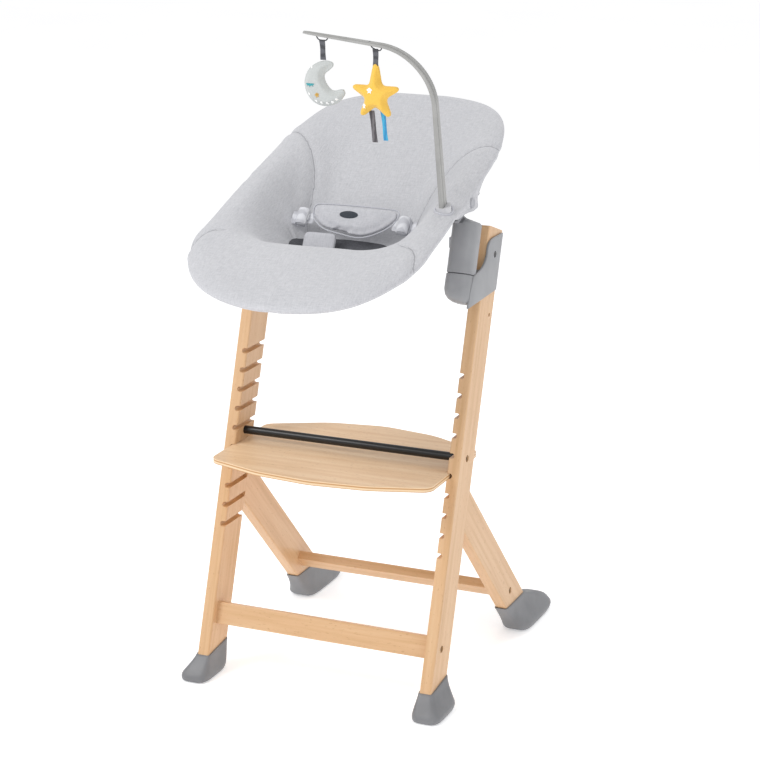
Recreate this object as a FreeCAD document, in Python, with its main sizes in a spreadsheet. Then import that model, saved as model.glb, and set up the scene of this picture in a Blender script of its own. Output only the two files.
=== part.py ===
import FreeCAD, Part
import math
import os
import re
import Sketcher

"""Wooden high-chair frame with a plug-in bouncer seat and its toy bar.

Millimetres. +X is the sitter's left, +Y runs from the feet to the head, +Z is up. The origin lies on
the floor in the middle of the footprint. Every driving size is a named cell of the sheet "Sizes".
"""

V = FreeCAD.Vector
DOC = FreeCAD.newDocument("bouncer_seat")
SHEET = DOC.addObject("Spreadsheet::Sheet", "Sizes")
SIDES = (("left", -1), ("right", 1))

SIZES = (
    # wooden frame
    ("leg_spread", 454), ("leg_thick", 22), ("leg_width", 67), ("leg_height", 820),
    ("lean_front", 18.46), ("front_reach", 235), ("lean_rear", 44.74), ("rear_reach", 220),
    ("rear_width", 68.6), ("edge_round", 3), ("leg_foot", 6),
    # plate grooves in the front legs
    ("groove_top", 569), ("groove_pitch", 33.1), ("groove_count", 10), ("groove_deep", 10),
    ("plate_thick", 8.5), ("plate_play", 0.3), ("plate_groove", 5), ("plate_bite", 5),
    ("plate_front", 185), ("plate_bow", 45), ("plate_rear", 40), ("plate_arc", 70),
    ("plate_corner", 22),
    # cross members and their fasteners
    ("bar_high", 39), ("bar_deep", 22), ("bar_front_y", 171), ("bar_front_z", 111),
    ("rail_high", 32), ("rail_deep", 18), ("rail_y", 175), ("rail_z", 95),
    ("rod_radius", 7.5), ("rod_y", 58), ("rod_z", 425),
    ("bolt_radius", 3), ("bolt_gap", 0.05), ("head_radius", 5), ("head_high", 4),
    ("sink_radius", 6.5), ("sink_deep", 7), ("bolt_reach", 42),
    ("insert_radius", 3.5), ("insert_z", 660), ("insert_inset", 15),
    # shoes
    ("shoe_floor", 1.5), ("shoe_wall", 3), ("shoe_belly", 22), ("front_collar", 46),
    ("rear_collar", 61), ("collar_slope", 4.5), ("shoe_flare", 28), ("front_toe", 20),
    ("front_heel", 8), ("rear_heel", 365), ("shoe_tuck", 6),
    ("shoe_round", 24), ("pad_radius", 7), ("pad_high", 3), ("pad_sink", 1.5),
    # brackets
    ("bracket_low", 699), ("bracket_top", 797), ("bracket_wall", 4), ("web_wall", 4),
    ("plate_lip", 9), ("shelf_z", 752), ("shelf_round", 24), ("bracket_bolt_z", 766),
    ("socket_y", -40), ("socket_z", 757), ("socket_x", 206), ("socket_wide", 50),
    ("socket_long", 62), ("socket_deep", 54), ("socket_round", 22),
    ("spigot_wide", 30), ("spigot_long", 38), ("spigot_deep", 42), ("spigot_play", 0.05),
    ("seat_gap", 0.3),
    # posts and recline hinge
    ("post_wide", 23), ("post_long", 28), ("post_straight", 78), ("hood_high", 11.5),
    ("hood_wide", 11), ("hood_long", 19), ("neck_x", 190), ("neck_thick", 14), ("neck_deep", 20),
    ("pivot_y", -12), ("pivot_z", 868), ("disc_radius", 12.5), ("pin_radius", 5),
    ("hub_clear", 0.8), ("recline_top", 10),
    ("pin_start", 167), ("pin_end", 198.5), ("spring_bore", 2.5), ("spring_deep", 11),
    ("ring_radius", 11.5), ("ring_thick", 1.6),
    ("latch_z", 800), ("latch_wide", 12), ("latch_high", 18), ("latch_out", 4),
    ("latch_deep", 14), ("latch_travel", 3), ("latch_play", 0.2),
    # hubs of the seat ring
    ("hub_long", 104), ("hub_high", 22), ("hub_slope", 18.16), ("hub_in_start", 165),
    ("hub_in_end", 181), ("hub_out_start", 199), ("hub_out_end", 206.5), ("sleeve_long", 26),
    ("sleeve_start", 187), ("screw_radius", 2), ("button_wide", 5), ("button_high", 10),
    ("button_play", 0.1), ("button_out", 3), ("button_back", 202),
    # seat ring and cover: outer edge of the seat as two super-ellipse halves
    ("seat_half", 211), ("seat_mid", -187), ("seat_fore", 180), ("seat_aft", 467),
    ("fore_power", 2.52), ("aft_power", 5.04), ("edge_z", 887), ("edge_slope", 0.328),
    ("fore_droop", 20), ("aft_lift", 23), ("tube_radius", 8), ("tube_inset", 12),
    ("tube_gap", 0.5), ("roll_lift", 10), ("roll_start", 0.84), ("bowl_flat", 0.36),
    ("cover_thick", 8), ("crest_y", -210), ("crest_z", 815), ("well_y", -90),
    ("well_z", 765), ("back_y", 56), ("back_z", 849), ("cover_trim", 6), ("cover_inset", 14), ("head_lift", 7),
    # harness
    ("pad_wide", 165), ("pad_tall", 62), ("pad_thick", 14), ("pad_tilt", 48),
    ("pad_y", -36), ("pad_z", 823), ("crotch_x", 51), ("crotch_wide", 54), ("crotch_tall", 31),
    ("crotch_thick", 10), ("crotch_tilt", 62), ("buckle_x", 94.5), ("buckle_wide", 22),
    ("buckle_tall", 34), ("buckle_thick", 11), ("tongue_wide", 12), ("tongue_thick", 4),
    ("tongue_long", 16), ("strap_wide", 25), ("strap_thick", 3), ("strap_long", 11),
    # toy bar and toys
    ("toy_x", 190), ("toy_y", -88), ("toy_z", 876), ("toy_corner_x", 203),
    ("toy_corner_z", 1142), ("toy_tip_x", -21), ("toy_tip_z", 1167), ("toy_lean", 18.3),
    ("toy_bend", 95), ("toy_wide", 18), ("toy_tip_wide", 11), ("toy_thick", 6),
    ("toy_plug", 14), ("collar_radius", 13), ("collar_high", 30), ("collar_play", 0.8),
    ("loop_radius", 7), ("loop_wire", 1.2), ("moon_x", 12), ("star_x", 106),
    ("strap_drop", 18), ("tape_wide", 8), ("tape_thick", 1.5), ("moon_radius", 40),
    ("moon_thick", 16), ("bite_radius", 36), ("bite_x", 28), ("bite_z", 28), ("moon_shift", 8),
    ("star_radius", 45), ("star_waist", 22), ("star_thick", 18), ("ribbon_long", 46),
    ("ribbon_wide", 9), ("ribbon_thick", 1.5), ("ribbon_gap", 14),
)

for row, (alias, value) in enumerate(SIZES, 1):
    SHEET.set("A%d" % row, alias)
    SHEET.set("B%d" % row, str(value))
    SHEET.setAlias("B%d" % row, alias)
DOC.recompute()


# ---------------------------------------------------------------- helpers

def size(name):
    """Return one driving size from the sheet as a number."""
    return float(SHEET.get(name))


def formula(text):
    """Turn plain alias names in a formula into references to the sheet."""
    return re.sub(r"\b([a-z]+_[a-z_]+)\b", r"Sizes.\1", text)


def bind(obj, prop, text):
    """Tie a property of an object to a formula of driving sizes."""
    obj.setExpression(prop, formula(text))


def named(obj, label):
    """Give an object its label, which is the node name, and return it."""
    obj.Label = label
    return obj


def new_body(label):
    """Start a PartDesign body for one sub-part."""
    return named(DOC.addObject("PartDesign::Body", label), label)


def origin_plane(body, role):
    """Find one of the body's own origin planes."""
    return [item for item in body.Origin.OriginFeatures if item.Role == role][0]


def new_sketch(body, name, role, offset="0", tilt=None, base=("0", "0")):
    """Attach a sketch to an origin plane, moved along its normal and tilted about X."""
    sketch = body.newObject("Sketcher::SketchObject", name)
    sketch.AttachmentSupport = [(origin_plane(body, role), "")]
    sketch.MapMode = "FlatFace"
    bind(sketch, "AttachmentOffset.Base.x", base[0])
    bind(sketch, "AttachmentOffset.Base.y", base[1])
    bind(sketch, "AttachmentOffset.Base.z", offset)
    if tilt:
        sketch.AttachmentOffset = FreeCAD.Placement(V(0, 0, 0), FreeCAD.Rotation(V(1, 0, 0), 10))
        bind(sketch, "AttachmentOffset.Rotation.Angle", tilt)
    return sketch


def pin_point(sketch, index, position, point):
    """Fix the coordinates of one sketch point to two formulas."""
    for kind, text in zip(("DistanceX", "DistanceY"), point):
        number = sketch.addConstraint(Sketcher.Constraint(kind, index, position, 1.0))
        bind(sketch, "Constraints[%d]" % number, text)


def add_outline(sketch, points):
    """Draw a closed polygon whose corners are pairs of formulas."""
    count = len(points)
    ring = [V(50 * math.cos(2 * math.pi * i / count), 50 * math.sin(2 * math.pi * i / count), 0)
            for i in range(count)]
    for i in range(count):
        sketch.addGeometry(Part.LineSegment(ring[i], ring[(i + 1) % count]), False)
    for i in range(count):
        sketch.addConstraint(Sketcher.Constraint("Coincident", i, 2, (i + 1) % count, 1))
    for i, point in enumerate(points):
        pin_point(sketch, i, 1, point)


def add_circle(sketch, centre, radius):
    """Draw a circle from a centre of two formulas and a radius formula."""
    index = sketch.addGeometry(Part.Circle(V(0, 0, 0), V(0, 0, 1), 1.0), False)
    pin_point(sketch, index, 3, centre)
    number = sketch.addConstraint(Sketcher.Constraint("Radius", index, 1.0))
    bind(sketch, "Constraints[%d]" % number, radius)


def pad(body, sketch, length):
    """Pad a sketch along its normal."""
    feature = body.newObject("PartDesign::Pad", sketch.Name + "_pad")
    feature.Profile = sketch
    bind(feature, "Length", length)
    sketch.Visibility = False
    return feature


def pocket(body, sketch, length=None, backwards=False):
    """Cut a sketch into the body, right through when no length is given."""
    feature = body.newObject("PartDesign::Pocket", sketch.Name + "_cut")
    feature.Profile = sketch
    if length is None:
        feature.SideType = "Symmetric"
        feature.Type = "Length"
        feature.Length = 4000
    else:
        bind(feature, "Length", length)
        feature.Reversed = backwards
    before = body.Shape.Volume
    DOC.recompute()
    if body.Shape.Volume >= before - 0.01:
        raise ValueError("the cut %s removed nothing" % feature.Name)
    return feature


def round_edges(body, feature, name, radius, wanted):
    """Fillet the edges of a feature that a test picks out."""
    DOC.recompute()
    names = ["Edge%d" % (i + 1) for i, edge in enumerate(feature.Shape.Edges) if wanted(edge)]
    fillet = body.newObject("PartDesign::Fillet", name)
    fillet.Base = (feature, names)
    bind(fillet, "Radius", radius)
    return fillet


def direction(edge):
    """Return the unit vector from one end of an edge to the other."""
    step = edge.Vertexes[-1].Point - edge.Vertexes[0].Point
    return step.normalize() if step.Length > 1e-6 else V(0, 0, 0)


def along(edge, axis):
    """Tell whether an edge is straight and parallel to an axis."""
    return abs(direction(edge).dot(axis)) > 0.9999


def low_side(side, start, thick):
    """Lower X of a slab that starts at a distance from the middle plane on either side."""
    return start if side > 0 else "-(%s) - (%s)" % (start, thick)


def slab(body, name, points, start, thick, side=1):
    """Pad an outline drawn in the side view into a slab of the given thickness."""
    sketch = new_sketch(body, name, "YZ_Plane", low_side(side, start, thick))
    add_outline(sketch, points)
    return pad(body, sketch, thick)


def lean_turn(angle_name, sign):
    """Rotation about X that tips +Z towards +Y for a positive sign."""
    return FreeCAD.Rotation(V(1, 0, 0), -sign * size(angle_name))


def placed(obj, base, rotation=None):
    """Place an object at a point of three formulas with a rotation."""
    if rotation is not None:
        obj.Placement = FreeCAD.Placement(V(0, 0, 0), rotation)
    for axis, text in zip("xyz", base):
        bind(obj, "Placement.Base." + axis, text)
    return obj


def cylinder(name, radius, length, base, rotation=None):
    """Make a cylinder primitive tied to the sheet."""
    obj = DOC.addObject("Part::Cylinder", name)
    bind(obj, "Radius", radius)
    bind(obj, "Height", length)
    return placed(obj, base, rotation)


def block(name, wide, deep, high, base, rotation=None):
    """Make a box primitive tied to the sheet, standing on its own corner."""
    obj = DOC.addObject("Part::Box", name)
    bind(obj, "Length", wide)
    bind(obj, "Width", deep)
    bind(obj, "Height", high)
    return placed(obj, base, rotation)


def fuse(name, pieces):
    """Join overlapping pieces into one solid."""
    obj = DOC.addObject("Part::MultiFuse", name)
    obj.Shapes = pieces
    obj.Refine = True
    return obj


def cut(name, base, tool):
    """Take one piece away from another."""
    obj = DOC.addObject("Part::Cut", name)
    obj.Base = base
    obj.Tool = tool
    return obj


def group(label, pieces):
    """Gather identical separate solids into one node."""
    obj = named(DOC.addObject("Part::Compound", label), label)
    obj.Links = pieces
    return obj


def solid(label, shape):
    """Wrap a computed shape as one sub-part."""
    obj = named(DOC.addObject("Part::Feature", label), label)
    obj.Shape = shape
    obj.Placement = FreeCAD.Placement(V(0, 0, 0), FreeCAD.Rotation())
    return obj


ALONG_X = FreeCAD.Rotation(V(0, 1, 0), 90)
AGAINST_X = FreeCAD.Rotation(V(0, 1, 0), -90)
FRONT_AXIS = V(0, math.sin(math.radians(size("lean_front"))), math.cos(math.radians(size("lean_front"))))
OUTER = "leg_spread / 2"
INNER = "leg_spread / 2 - leg_thick"
NODES = []


def keep(*pieces):
    """Record finished sub-parts for the checks and the export."""
    NODES.extend(pieces)


# ---------------------------------------------------------------- wooden frame

def front_line(height):
    """Y of the front edge of a front leg at a height."""
    return "(-front_reach + (%s) * tan(lean_front))" % height


def back_line(height):
    """Y of the rear edge of a front leg at a height."""
    return "(%s + leg_width / cos(lean_front))" % front_line(height)


def prop_line(height):
    """Y of the lower front edge of a rear leg at a height."""
    return "(rear_reach - (%s) * tan(lean_rear))" % height


def bore_holes(body, side, holes):
    """Drill clearance holes with a sunk recess on the outer face of a leg."""
    through = new_sketch(body, body.Label + "_bores", "YZ_Plane")
    for centre in holes:
        add_circle(through, centre, "bolt_radius + bolt_gap")
    pocket(body, through)
    face = OUTER if side > 0 else "-(%s)" % OUTER
    sinks = new_sketch(body, body.Label + "_sinks", "YZ_Plane", face)
    for centre in holes:
        add_circle(sinks, centre, "sink_radius")
    pocket(body, sinks, "sink_deep", side < 0)


BRACKET_BOLT = ("%s + leg_width / 2 / cos(lean_front)" % front_line("bracket_bolt_z"), "bracket_bolt_z")
BAR_BOLT = ("-bar_front_y", "bar_front_z")
ROD_BOLT = ("-rod_y", "rod_z")
RAIL_BOLT = ("rail_y", "rail_z")


def front_leg(label, side):
    """Leaning board with a row of plate grooves on its inner face."""
    body = new_body("front_leg_" + label)
    outline = [(front_line("leg_foot"), "leg_foot"),
               (back_line("leg_foot"), "leg_foot"),
               ("%s + leg_width * cos(lean_front)" % front_line("leg_height"),
                "leg_height - leg_width * sin(lean_front)"),
               (front_line("leg_height"), "leg_height")]
    board = slab(body, "front_board_" + label, outline, INNER, "leg_thick", side)
    middle = -size("front_reach")

    def front_or_top(edge):
        mid = edge.CenterOfMass
        leaning = along(edge, FRONT_AXIS) and mid.y < middle + mid.z * FRONT_AXIS.y / FRONT_AXIS.z + 5
        return leaning or (along(edge, V(1, 0, 0)) and mid.z > 700)

    round_edges(body, board, "front_soft_" + label, "edge_round", front_or_top)
    slot = new_sketch(body, "groove_slot_" + label, "XZ_Plane")
    inner = INNER if side > 0 else "-(%s)" % INNER
    reach = "%s (groove_deep - plate_thick / 2 - plate_play)" % ("+" if side > 0 else "-")
    shy = "%s %s 2" % (inner, "-" if side > 0 else "+")
    low = "groove_top - plate_thick / 2 - plate_play"
    high = "groove_top + plate_thick / 2 + plate_play"
    add_outline(slot, [(shy, low), (inner + reach, low), (inner + reach, high), (shy, high)])
    first = pocket(body, slot)
    round_end = new_sketch(body, "groove_end_" + label, "XZ_Plane")
    add_circle(round_end, (inner + reach, "groove_top"), "plate_thick / 2 + plate_play")
    second = pocket(body, round_end)
    rows = body.newObject("PartDesign::LinearPattern", "grooves_" + label)
    rows.Originals = [first, second]
    rows.Direction = (origin_plane(body, "Z_Axis"), [""])
    rows.Reversed = True
    rows.Mode = "Spacing"
    bind(rows, "Offset", "groove_pitch")
    bind(rows, "Occurrences", "groove_count")
    body.Tip = rows
    DOC.recompute()
    bore_holes(body, side, [BRACKET_BOLT, BAR_BOLT, ROD_BOLT])
    insert = new_sketch(body, "insert_" + label, "YZ_Plane")
    add_circle(insert, ("%s - insert_inset" % back_line("insert_z"), "insert_z"), "insert_radius")
    pocket(body, insert)
    keep(body)


def rear_leg(label, side):
    """Prop that rises from the rear shoe to the back edge of the front leg."""
    body = new_body("rear_leg_" + label)
    gap = "(rear_reach + front_reach - leg_width / cos(lean_front)%s)"
    low = (gap % "") + " / (tan(lean_front) + tan(lean_rear))"
    high = (gap % " + rear_width / cos(lean_rear)") + " / (tan(lean_front) + tan(lean_rear))"
    outline = [(prop_line("leg_foot"), "leg_foot"),
               ("%s + rear_width / cos(lean_rear)" % prop_line("leg_foot"), "leg_foot"),
               (back_line(high), high),
               (back_line(low), low)]
    board = slab(body, "rear_board_" + label, outline, INNER, "leg_thick", side)
    axis = V(0, -math.sin(math.radians(size("lean_rear"))), math.cos(math.radians(size("lean_rear"))))
    round_edges(body, board, "rear_soft_" + label, "edge_round", lambda edge: along(edge, axis))
    bore_holes(body, side, [RAIL_BOLT])
    keep(body)


def cross_member(label, centre, deep, high, tilt):
    """Wooden rail between the inner faces, turned with the legs it joins."""
    body = new_body(label)
    sketch = new_sketch(body, label + "_end", "YZ_Plane", "-(%s)" % INNER)
    half_deep = "(%s) / 2" % deep
    half_high = "(%s) / 2" % high
    corners = []
    for across, up in ((-1, -1), (1, -1), (1, 1), (-1, 1)):
        corners.append(("%s %+d * %s * cos(%s) %+d * %s * sin(%s)"
                        % (centre[0], across, half_deep, tilt, up, half_high, tilt),
                        "%s %+d * %s * sin(%s) %+d * %s * cos(%s)"
                        % (centre[1], -across, half_deep, tilt, up, half_high, tilt)))
    add_outline(sketch, corners)
    board = pad(body, sketch, "leg_spread - 2 * leg_thick")
    round_edges(body, board, label + "_soft", "edge_round / 2", lambda edge: along(edge, V(1, 0, 0)))
    DOC.recompute()
    bores = new_sketch(body, label + "_bore", "YZ_Plane", INNER)
    add_circle(bores, centre, "bolt_radius + bolt_gap")
    pocket(body, bores, "bolt_reach")
    others = new_sketch(body, label + "_bore_far", "YZ_Plane", "-(%s)" % INNER)
    add_circle(others, centre, "bolt_radius + bolt_gap")
    pocket(body, others, "bolt_reach", True)
    keep(body)


def bolt(name, side, centre, reach):
    """Cap screw that lies in its sunk recess with the head towards the outside."""
    turn = AGAINST_X if side > 0 else ALONG_X
    seat = "(%s - sink_deep)" % OUTER
    if side < 0:
        seat = "-" + seat
    shank = cylinder(name + "_shank", "bolt_radius", reach, (seat, centre[0], centre[1]), turn)
    head_start = seat + (" + head_high" if side > 0 else " - head_high")
    head = cylinder(name + "_head", "head_radius", "head_high", (head_start, centre[0], centre[1]), turn)
    socket = cylinder(name + "_socket", "bolt_radius - 0.5", "head_high / 2",
                      (head_start, centre[0], centre[1]), turn)
    return cut(name, fuse(name + "_whole", [shank, head]), socket)


def fasteners():
    """Bolts, the steel brace rod and the rubber floor pads."""
    reach = "leg_thick - sink_deep + bolt_reach - 2"
    group_bolts = []
    for label, side in SIDES:
        group_bolts.append(bolt("bar_bolt_" + label, side, BAR_BOLT, reach))
        group_bolts.append(bolt("rail_bolt_" + label, side, RAIL_BOLT, reach))
    rod_bolts = [bolt("rod_bolt_" + label, side, ROD_BOLT, reach) for label, side in SIDES]
    clamp_bolts = [bolt("clamp_bolt_" + label, side, BRACKET_BOLT, "leg_thick + 2 * bracket_wall - sink_deep")
                   for label, side in SIDES]
    keep(group("crossbar_bolts", group_bolts), group("brace_bolts", rod_bolts))
    return clamp_bolts


def brace_rod():
    """Steel rod above the plate, tapped at both ends for the brace bolts."""
    rod = cylinder("rod_bar", "rod_radius", "leg_spread - 2 * leg_thick",
                   ("-(%s)" % INNER, "-rod_y", "rod_z"), ALONG_X)
    bores = []
    for label, side in SIDES:
        start = INNER if side > 0 else "-(%s)" % INNER
        turn = AGAINST_X if side > 0 else ALONG_X
        bores.append(cylinder("rod_tap_" + label, "bolt_radius + bolt_gap", "bolt_reach",
                              (start, "-rod_y", "rod_z"), turn))
    keep(named(cut("brace_rod", rod, group("rod_taps", bores)), "brace_rod"))


def seat_plate():
    """Plywood plate with a bowed front edge and an arched rear edge, held in one groove pair."""
    body = new_body("seat_plate")
    level = "groove_top - plate_groove * groove_pitch - plate_thick / 2"
    half = "(%s + plate_bite)" % INNER
    sketch = new_sketch(body, "plate_outline", "XY_Plane", level)
    add_outline(sketch, [("-" + half, "-plate_front"), ("-%s / 2" % half, "-plate_front - plate_bow * 0.75"),
                         ("0", "-plate_front - plate_bow"), (half + " / 2", "-plate_front - plate_bow * 0.75"),
                         (half, "-plate_front"), (half, "plate_rear"),
                         (half + " / 2", "plate_rear + plate_arc * 0.75"), ("0", "plate_rear + plate_arc"),
                         ("-%s / 2" % half, "plate_rear + plate_arc * 0.75"), ("-" + half, "plate_rear")])
    board = pad(body, sketch, "plate_thick")
    inner = size("leg_spread") / 2 - size("leg_thick")

    def corner(edge):
        return along(edge, V(0, 0, 1)) and abs(edge.CenterOfMass.x) > inner

    def bend(edge):
        return along(edge, V(0, 0, 1)) and abs(edge.CenterOfMass.x) < inner

    corners = round_edges(body, board, "plate_corners", "plate_corner", corner)
    round_edges(body, corners, "plate_bends", "plate_corner * 6", bend)
    keep(body)


# ---------------------------------------------------------------- shoes

def shoe_section(body, name, level, side, near, far, low_y, high_y, radius, tilt=None):
    """Draw one level of a shoe: straight on the inner side, round corners on the outer side."""
    turn_y = low_y if tilt else "0"
    sketch = new_sketch(body, name, "XY_Plane", level, tilt, ("0", turn_y))
    low_y = "(%s - (%s))" % (low_y, turn_y)
    high_y = "(%s - (%s))" % (high_y, turn_y)
    points = [(near, low_y), (near, high_y)]
    for step in range(5):
        share = math.pi / 2 * step / 4
        points.append(("%s - %s * (1 - %.4f)" % (far, radius, math.sin(share)),
                       "%s - %s * (1 - %.4f)" % (high_y, radius, math.cos(share))))
    for step in range(5):
        share = math.pi / 2 * step / 4
        points.append(("%s - %s * (1 - %.4f)" % (far, radius, math.cos(share)),
                       "%s + %s * (1 - %.4f)" % (low_y, radius, math.sin(share))))
    if side < 0:
        points = [("-(%s)" % x, y) for x, y in points]
    add_outline(sketch, points)
    return sketch


def shoe(name, label, side, collar, front_out, rear_out, leg_outline, lines):
    """Moulded shoe: a lofted shell around the leg's end with an outward flare."""
    body = new_body("shoe_%s_%s" % (name, label))
    near = "(%s - shoe_wall)" % INNER
    wall = "shoe_wall / cos(%s)" % name_lean(name)
    low, high = lines
    levels = (("floor", "shoe_floor", "(%s + shoe_flare - shoe_tuck)" % OUTER, front_out[0],
               rear_out[0], "shoe_round", None),
              ("belly", "shoe_belly", "(%s + shoe_flare - 2)" % OUTER, front_out[1], rear_out[1],
               "shoe_round", None),
              ("collar", collar, "(%s + shoe_wall)" % OUTER, "%s - %s" % (low(collar), wall),
               "%s + %s" % (high(collar), wall), "shoe_wall", "collar_slope"))
    rings = [shoe_section(body, "%s_%s_%s" % (name, level, label), height, side, near, far, front, rear,
                          radius, tilt)
             for level, height, far, front, rear, radius, tilt in levels]
    shell = body.newObject("PartDesign::AdditiveLoft", name + "_shell_" + label)
    shell.Profile = rings[0]
    shell.Sections = rings[1:]
    shell.Ruled = True
    DOC.recompute()
    hole = new_sketch(body, name + "_hole_" + label, "YZ_Plane", low_side(side, INNER, "leg_thick"))
    add_outline(hole, leg_outline)
    pocket(body, hole, "leg_thick", True)
    recess = new_sketch(body, name + "_recess_" + label, "XY_Plane", "shoe_floor")
    for centre in pad_centres(name, side, front_out, rear_out):
        add_circle(recess, centre, "pad_radius + 0.2")
    pocket(body, recess, "pad_high - pad_sink", True)
    keep(body)


def name_lean(name):
    """Alias of the lean of the leg that a shoe serves."""
    return "lean_" + name


def pad_centres(name, side, front_out, rear_out):
    """Centres of the two floor pads under one shoe."""
    middle = "(%s + 4)" % OUTER
    if side < 0:
        middle = "-" + middle
    return [(middle, "%s + 22" % front_out[0]), (middle, "%s - 22" % rear_out[0])]


FRONT_OUT = (("(%s - front_toe)" % front_line("leg_foot"), "(%s - front_toe)" % front_line("shoe_belly")),
             ("(%s + front_heel)" % back_line("leg_foot"), "(%s + front_heel)" % back_line("shoe_belly")))
REAR_OUT = (("(%s - shoe_wall)" % prop_line("leg_foot"), "(%s - shoe_wall - 2)" % prop_line("shoe_belly")),
            ("(rear_heel - 14)", "rear_heel"))


def shoes():
    """All four shoes and the rubber pads they stand on."""
    top = "(leg_foot + 140)"
    front_outline = [(front_line("leg_foot"), "leg_foot"), (back_line("leg_foot"), "leg_foot"),
                     (back_line(top), top), (front_line(top), top)]
    depth = "rear_width / cos(lean_rear)"
    rear_outline = [(prop_line("leg_foot"), "leg_foot"),
                    ("%s + %s" % (prop_line("leg_foot"), depth), "leg_foot"),
                    ("%s + %s" % (prop_line(top), depth), top), (prop_line(top), top)]
    rear_lines = (prop_line, lambda height: "(%s + %s)" % (prop_line(height), depth))
    pads = []
    for label, side in SIDES:
        shoe("front", label, side, "front_collar", FRONT_OUT[0], FRONT_OUT[1], front_outline,
             (front_line, back_line))
        shoe("rear", label, side, "rear_collar", REAR_OUT[0], REAR_OUT[1], rear_outline, rear_lines)
        for name, limits in (("front", FRONT_OUT), ("rear", REAR_OUT)):
            for number, centre in enumerate(pad_centres(name, side, *limits)):
                pads.append(cylinder("%s_pad_%s_%d" % (name, label, number), "pad_radius", "pad_high",
                                     (centre[0], centre[1], "0")))
    keep(group("foot_pads", pads))


# ---------------------------------------------------------------- brackets

def lean_block(body, name, centre, wide, long, start, length):
    """Pad a rectangle along the lean of the front leg, starting at a height on the socket axis."""
    turn = "-lean_front"
    run = "((%s) - socket_z) / cos(lean_front)" % start
    sketch = new_sketch(body, name, "XY_Plane", "socket_z + %s * cos(lean_front)" % run, turn,
                        ("0", "socket_y + %s * sin(lean_front)" % run))
    add_outline(sketch, [("%s - %s / 2" % (centre, wide), "-%s / 2" % long),
                         ("%s + %s / 2" % (centre, wide), "-%s / 2" % long),
                         ("%s + %s / 2" % (centre, wide), "%s / 2" % long),
                         ("%s - %s / 2" % (centre, wide), "%s / 2" % long)])
    return sketch


def bracket(label, side):
    """Moulded saddle around the leg top with a socket in front for the seat's post."""
    body = new_body("bracket_" + label)
    leg_front = front_line
    web = "(%s - seat_gap - web_wall)"
    outside = "(%s + bracket_wall)" % OUTER
    inside = "(%s - bracket_wall)" % INNER
    low, high, shelf = "bracket_low", "bracket_top", "shelf_z"
    rear_low = "(%s)" % back_line(low)
    rear_high = "(%s)" % back_line(high)
    saddle = [(web % leg_front(low), low), (rear_low, low), (rear_high, high), (web % leg_front(high), high)]
    slab(body, "saddle_" + label, saddle, inside, "leg_thick + 2 * bracket_wall", side)
    cheek = [("socket_y - socket_long / 2 + 4", low), (leg_front(low) + " + 5", low),
             (leg_front(high) + " + 5", high), ("(%s - plate_lip)" % leg_front(high), high),
             ("(%s - plate_lip)" % leg_front(shelf), shelf), ("socket_y - 6", shelf),
             ("socket_y - socket_long / 2 + 14", shelf)]
    front = slab(body, "cheek_" + label, cheek, OUTER, "bracket_wall", side)

    def inner_corner(edge):
        mid = edge.CenterOfMass
        corner_y = -size("front_reach") + size("shelf_z") * math.tan(math.radians(size("lean_front")))
        near = abs(mid.y - corner_y + size("plate_lip")) < 1 and abs(mid.z - size("shelf_z")) < 1
        return along(edge, V(1, 0, 0)) and near

    round_edges(body, front, "cheek_round_" + label, "shelf_round", inner_corner)
    DOC.recompute()
    bridge = [("socket_y - 4", "bracket_low + 6"), (web % leg_front(low) + " + 2", "bracket_low + 6"),
              (web % leg_front(shelf) + " + 2", shelf), ("socket_y - 4", shelf)]
    slab(body, "bridge_" + label, bridge, "socket_x - socket_wide / 2 + 4",
         "%s - (socket_x - socket_wide / 2 + 4)" % outside, side)
    centre = "socket_x" if side > 0 else "-socket_x"
    cup = lean_block(body, "cup_" + label, centre, "socket_wide", "socket_long",
                     "socket_z - socket_deep * cos(lean_front)", "socket_deep")
    cup_pad = pad(body, cup, "socket_deep")
    radius = "socket_round"

    def cup_side(edge):
        mid = edge.CenterOfMass
        forward = mid.y < size("socket_y") - 12 + (mid.z - size("socket_z")) * 0.33
        return along(edge, FRONT_AXIS) and forward

    round_edges(body, cup_pad, "cup_round_" + label, radius, cup_side)
    DOC.recompute()
    leg_hole = [("%s - seat_gap" % leg_front("(bracket_low - 20)"), "bracket_low - 20"),
                ("%s + 30" % back_line("(bracket_low - 20)"), "bracket_low - 20"),
                ("%s + 30" % back_line("(bracket_top + 20)"), "bracket_top + 20"),
                ("%s - seat_gap" % leg_front("(bracket_top + 20)"), "bracket_top + 20")]
    hole = new_sketch(body, "leg_way_" + label, "YZ_Plane", low_side(side, INNER, "leg_thick"))
    add_outline(hole, leg_hole)
    pocket(body, hole, "leg_thick", True)
    bores = new_sketch(body, "clamp_bore_" + label, "YZ_Plane", low_side(side, inside,
                       "leg_thick + 2 * bracket_wall"))
    add_circle(bores, BRACKET_BOLT, "sink_radius")
    pocket(body, bores, "leg_thick + 2 * bracket_wall", True)
    mouth = lean_block(body, "mouth_" + label, centre, "(spigot_wide + 2 * spigot_play)",
                       "(spigot_long + 2 * spigot_play)", "socket_z", "spigot_deep")
    pocket(body, mouth, "spigot_deep + 2")
    foot = lean_block(body, "post_room_" + label, centre, "(2 * post_wide + 2 * seat_gap)",
                      "(2 * post_long + 2 * seat_gap)", "socket_z", "post_straight")
    pocket(body, foot, "post_straight", True)
    keep(body)


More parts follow.
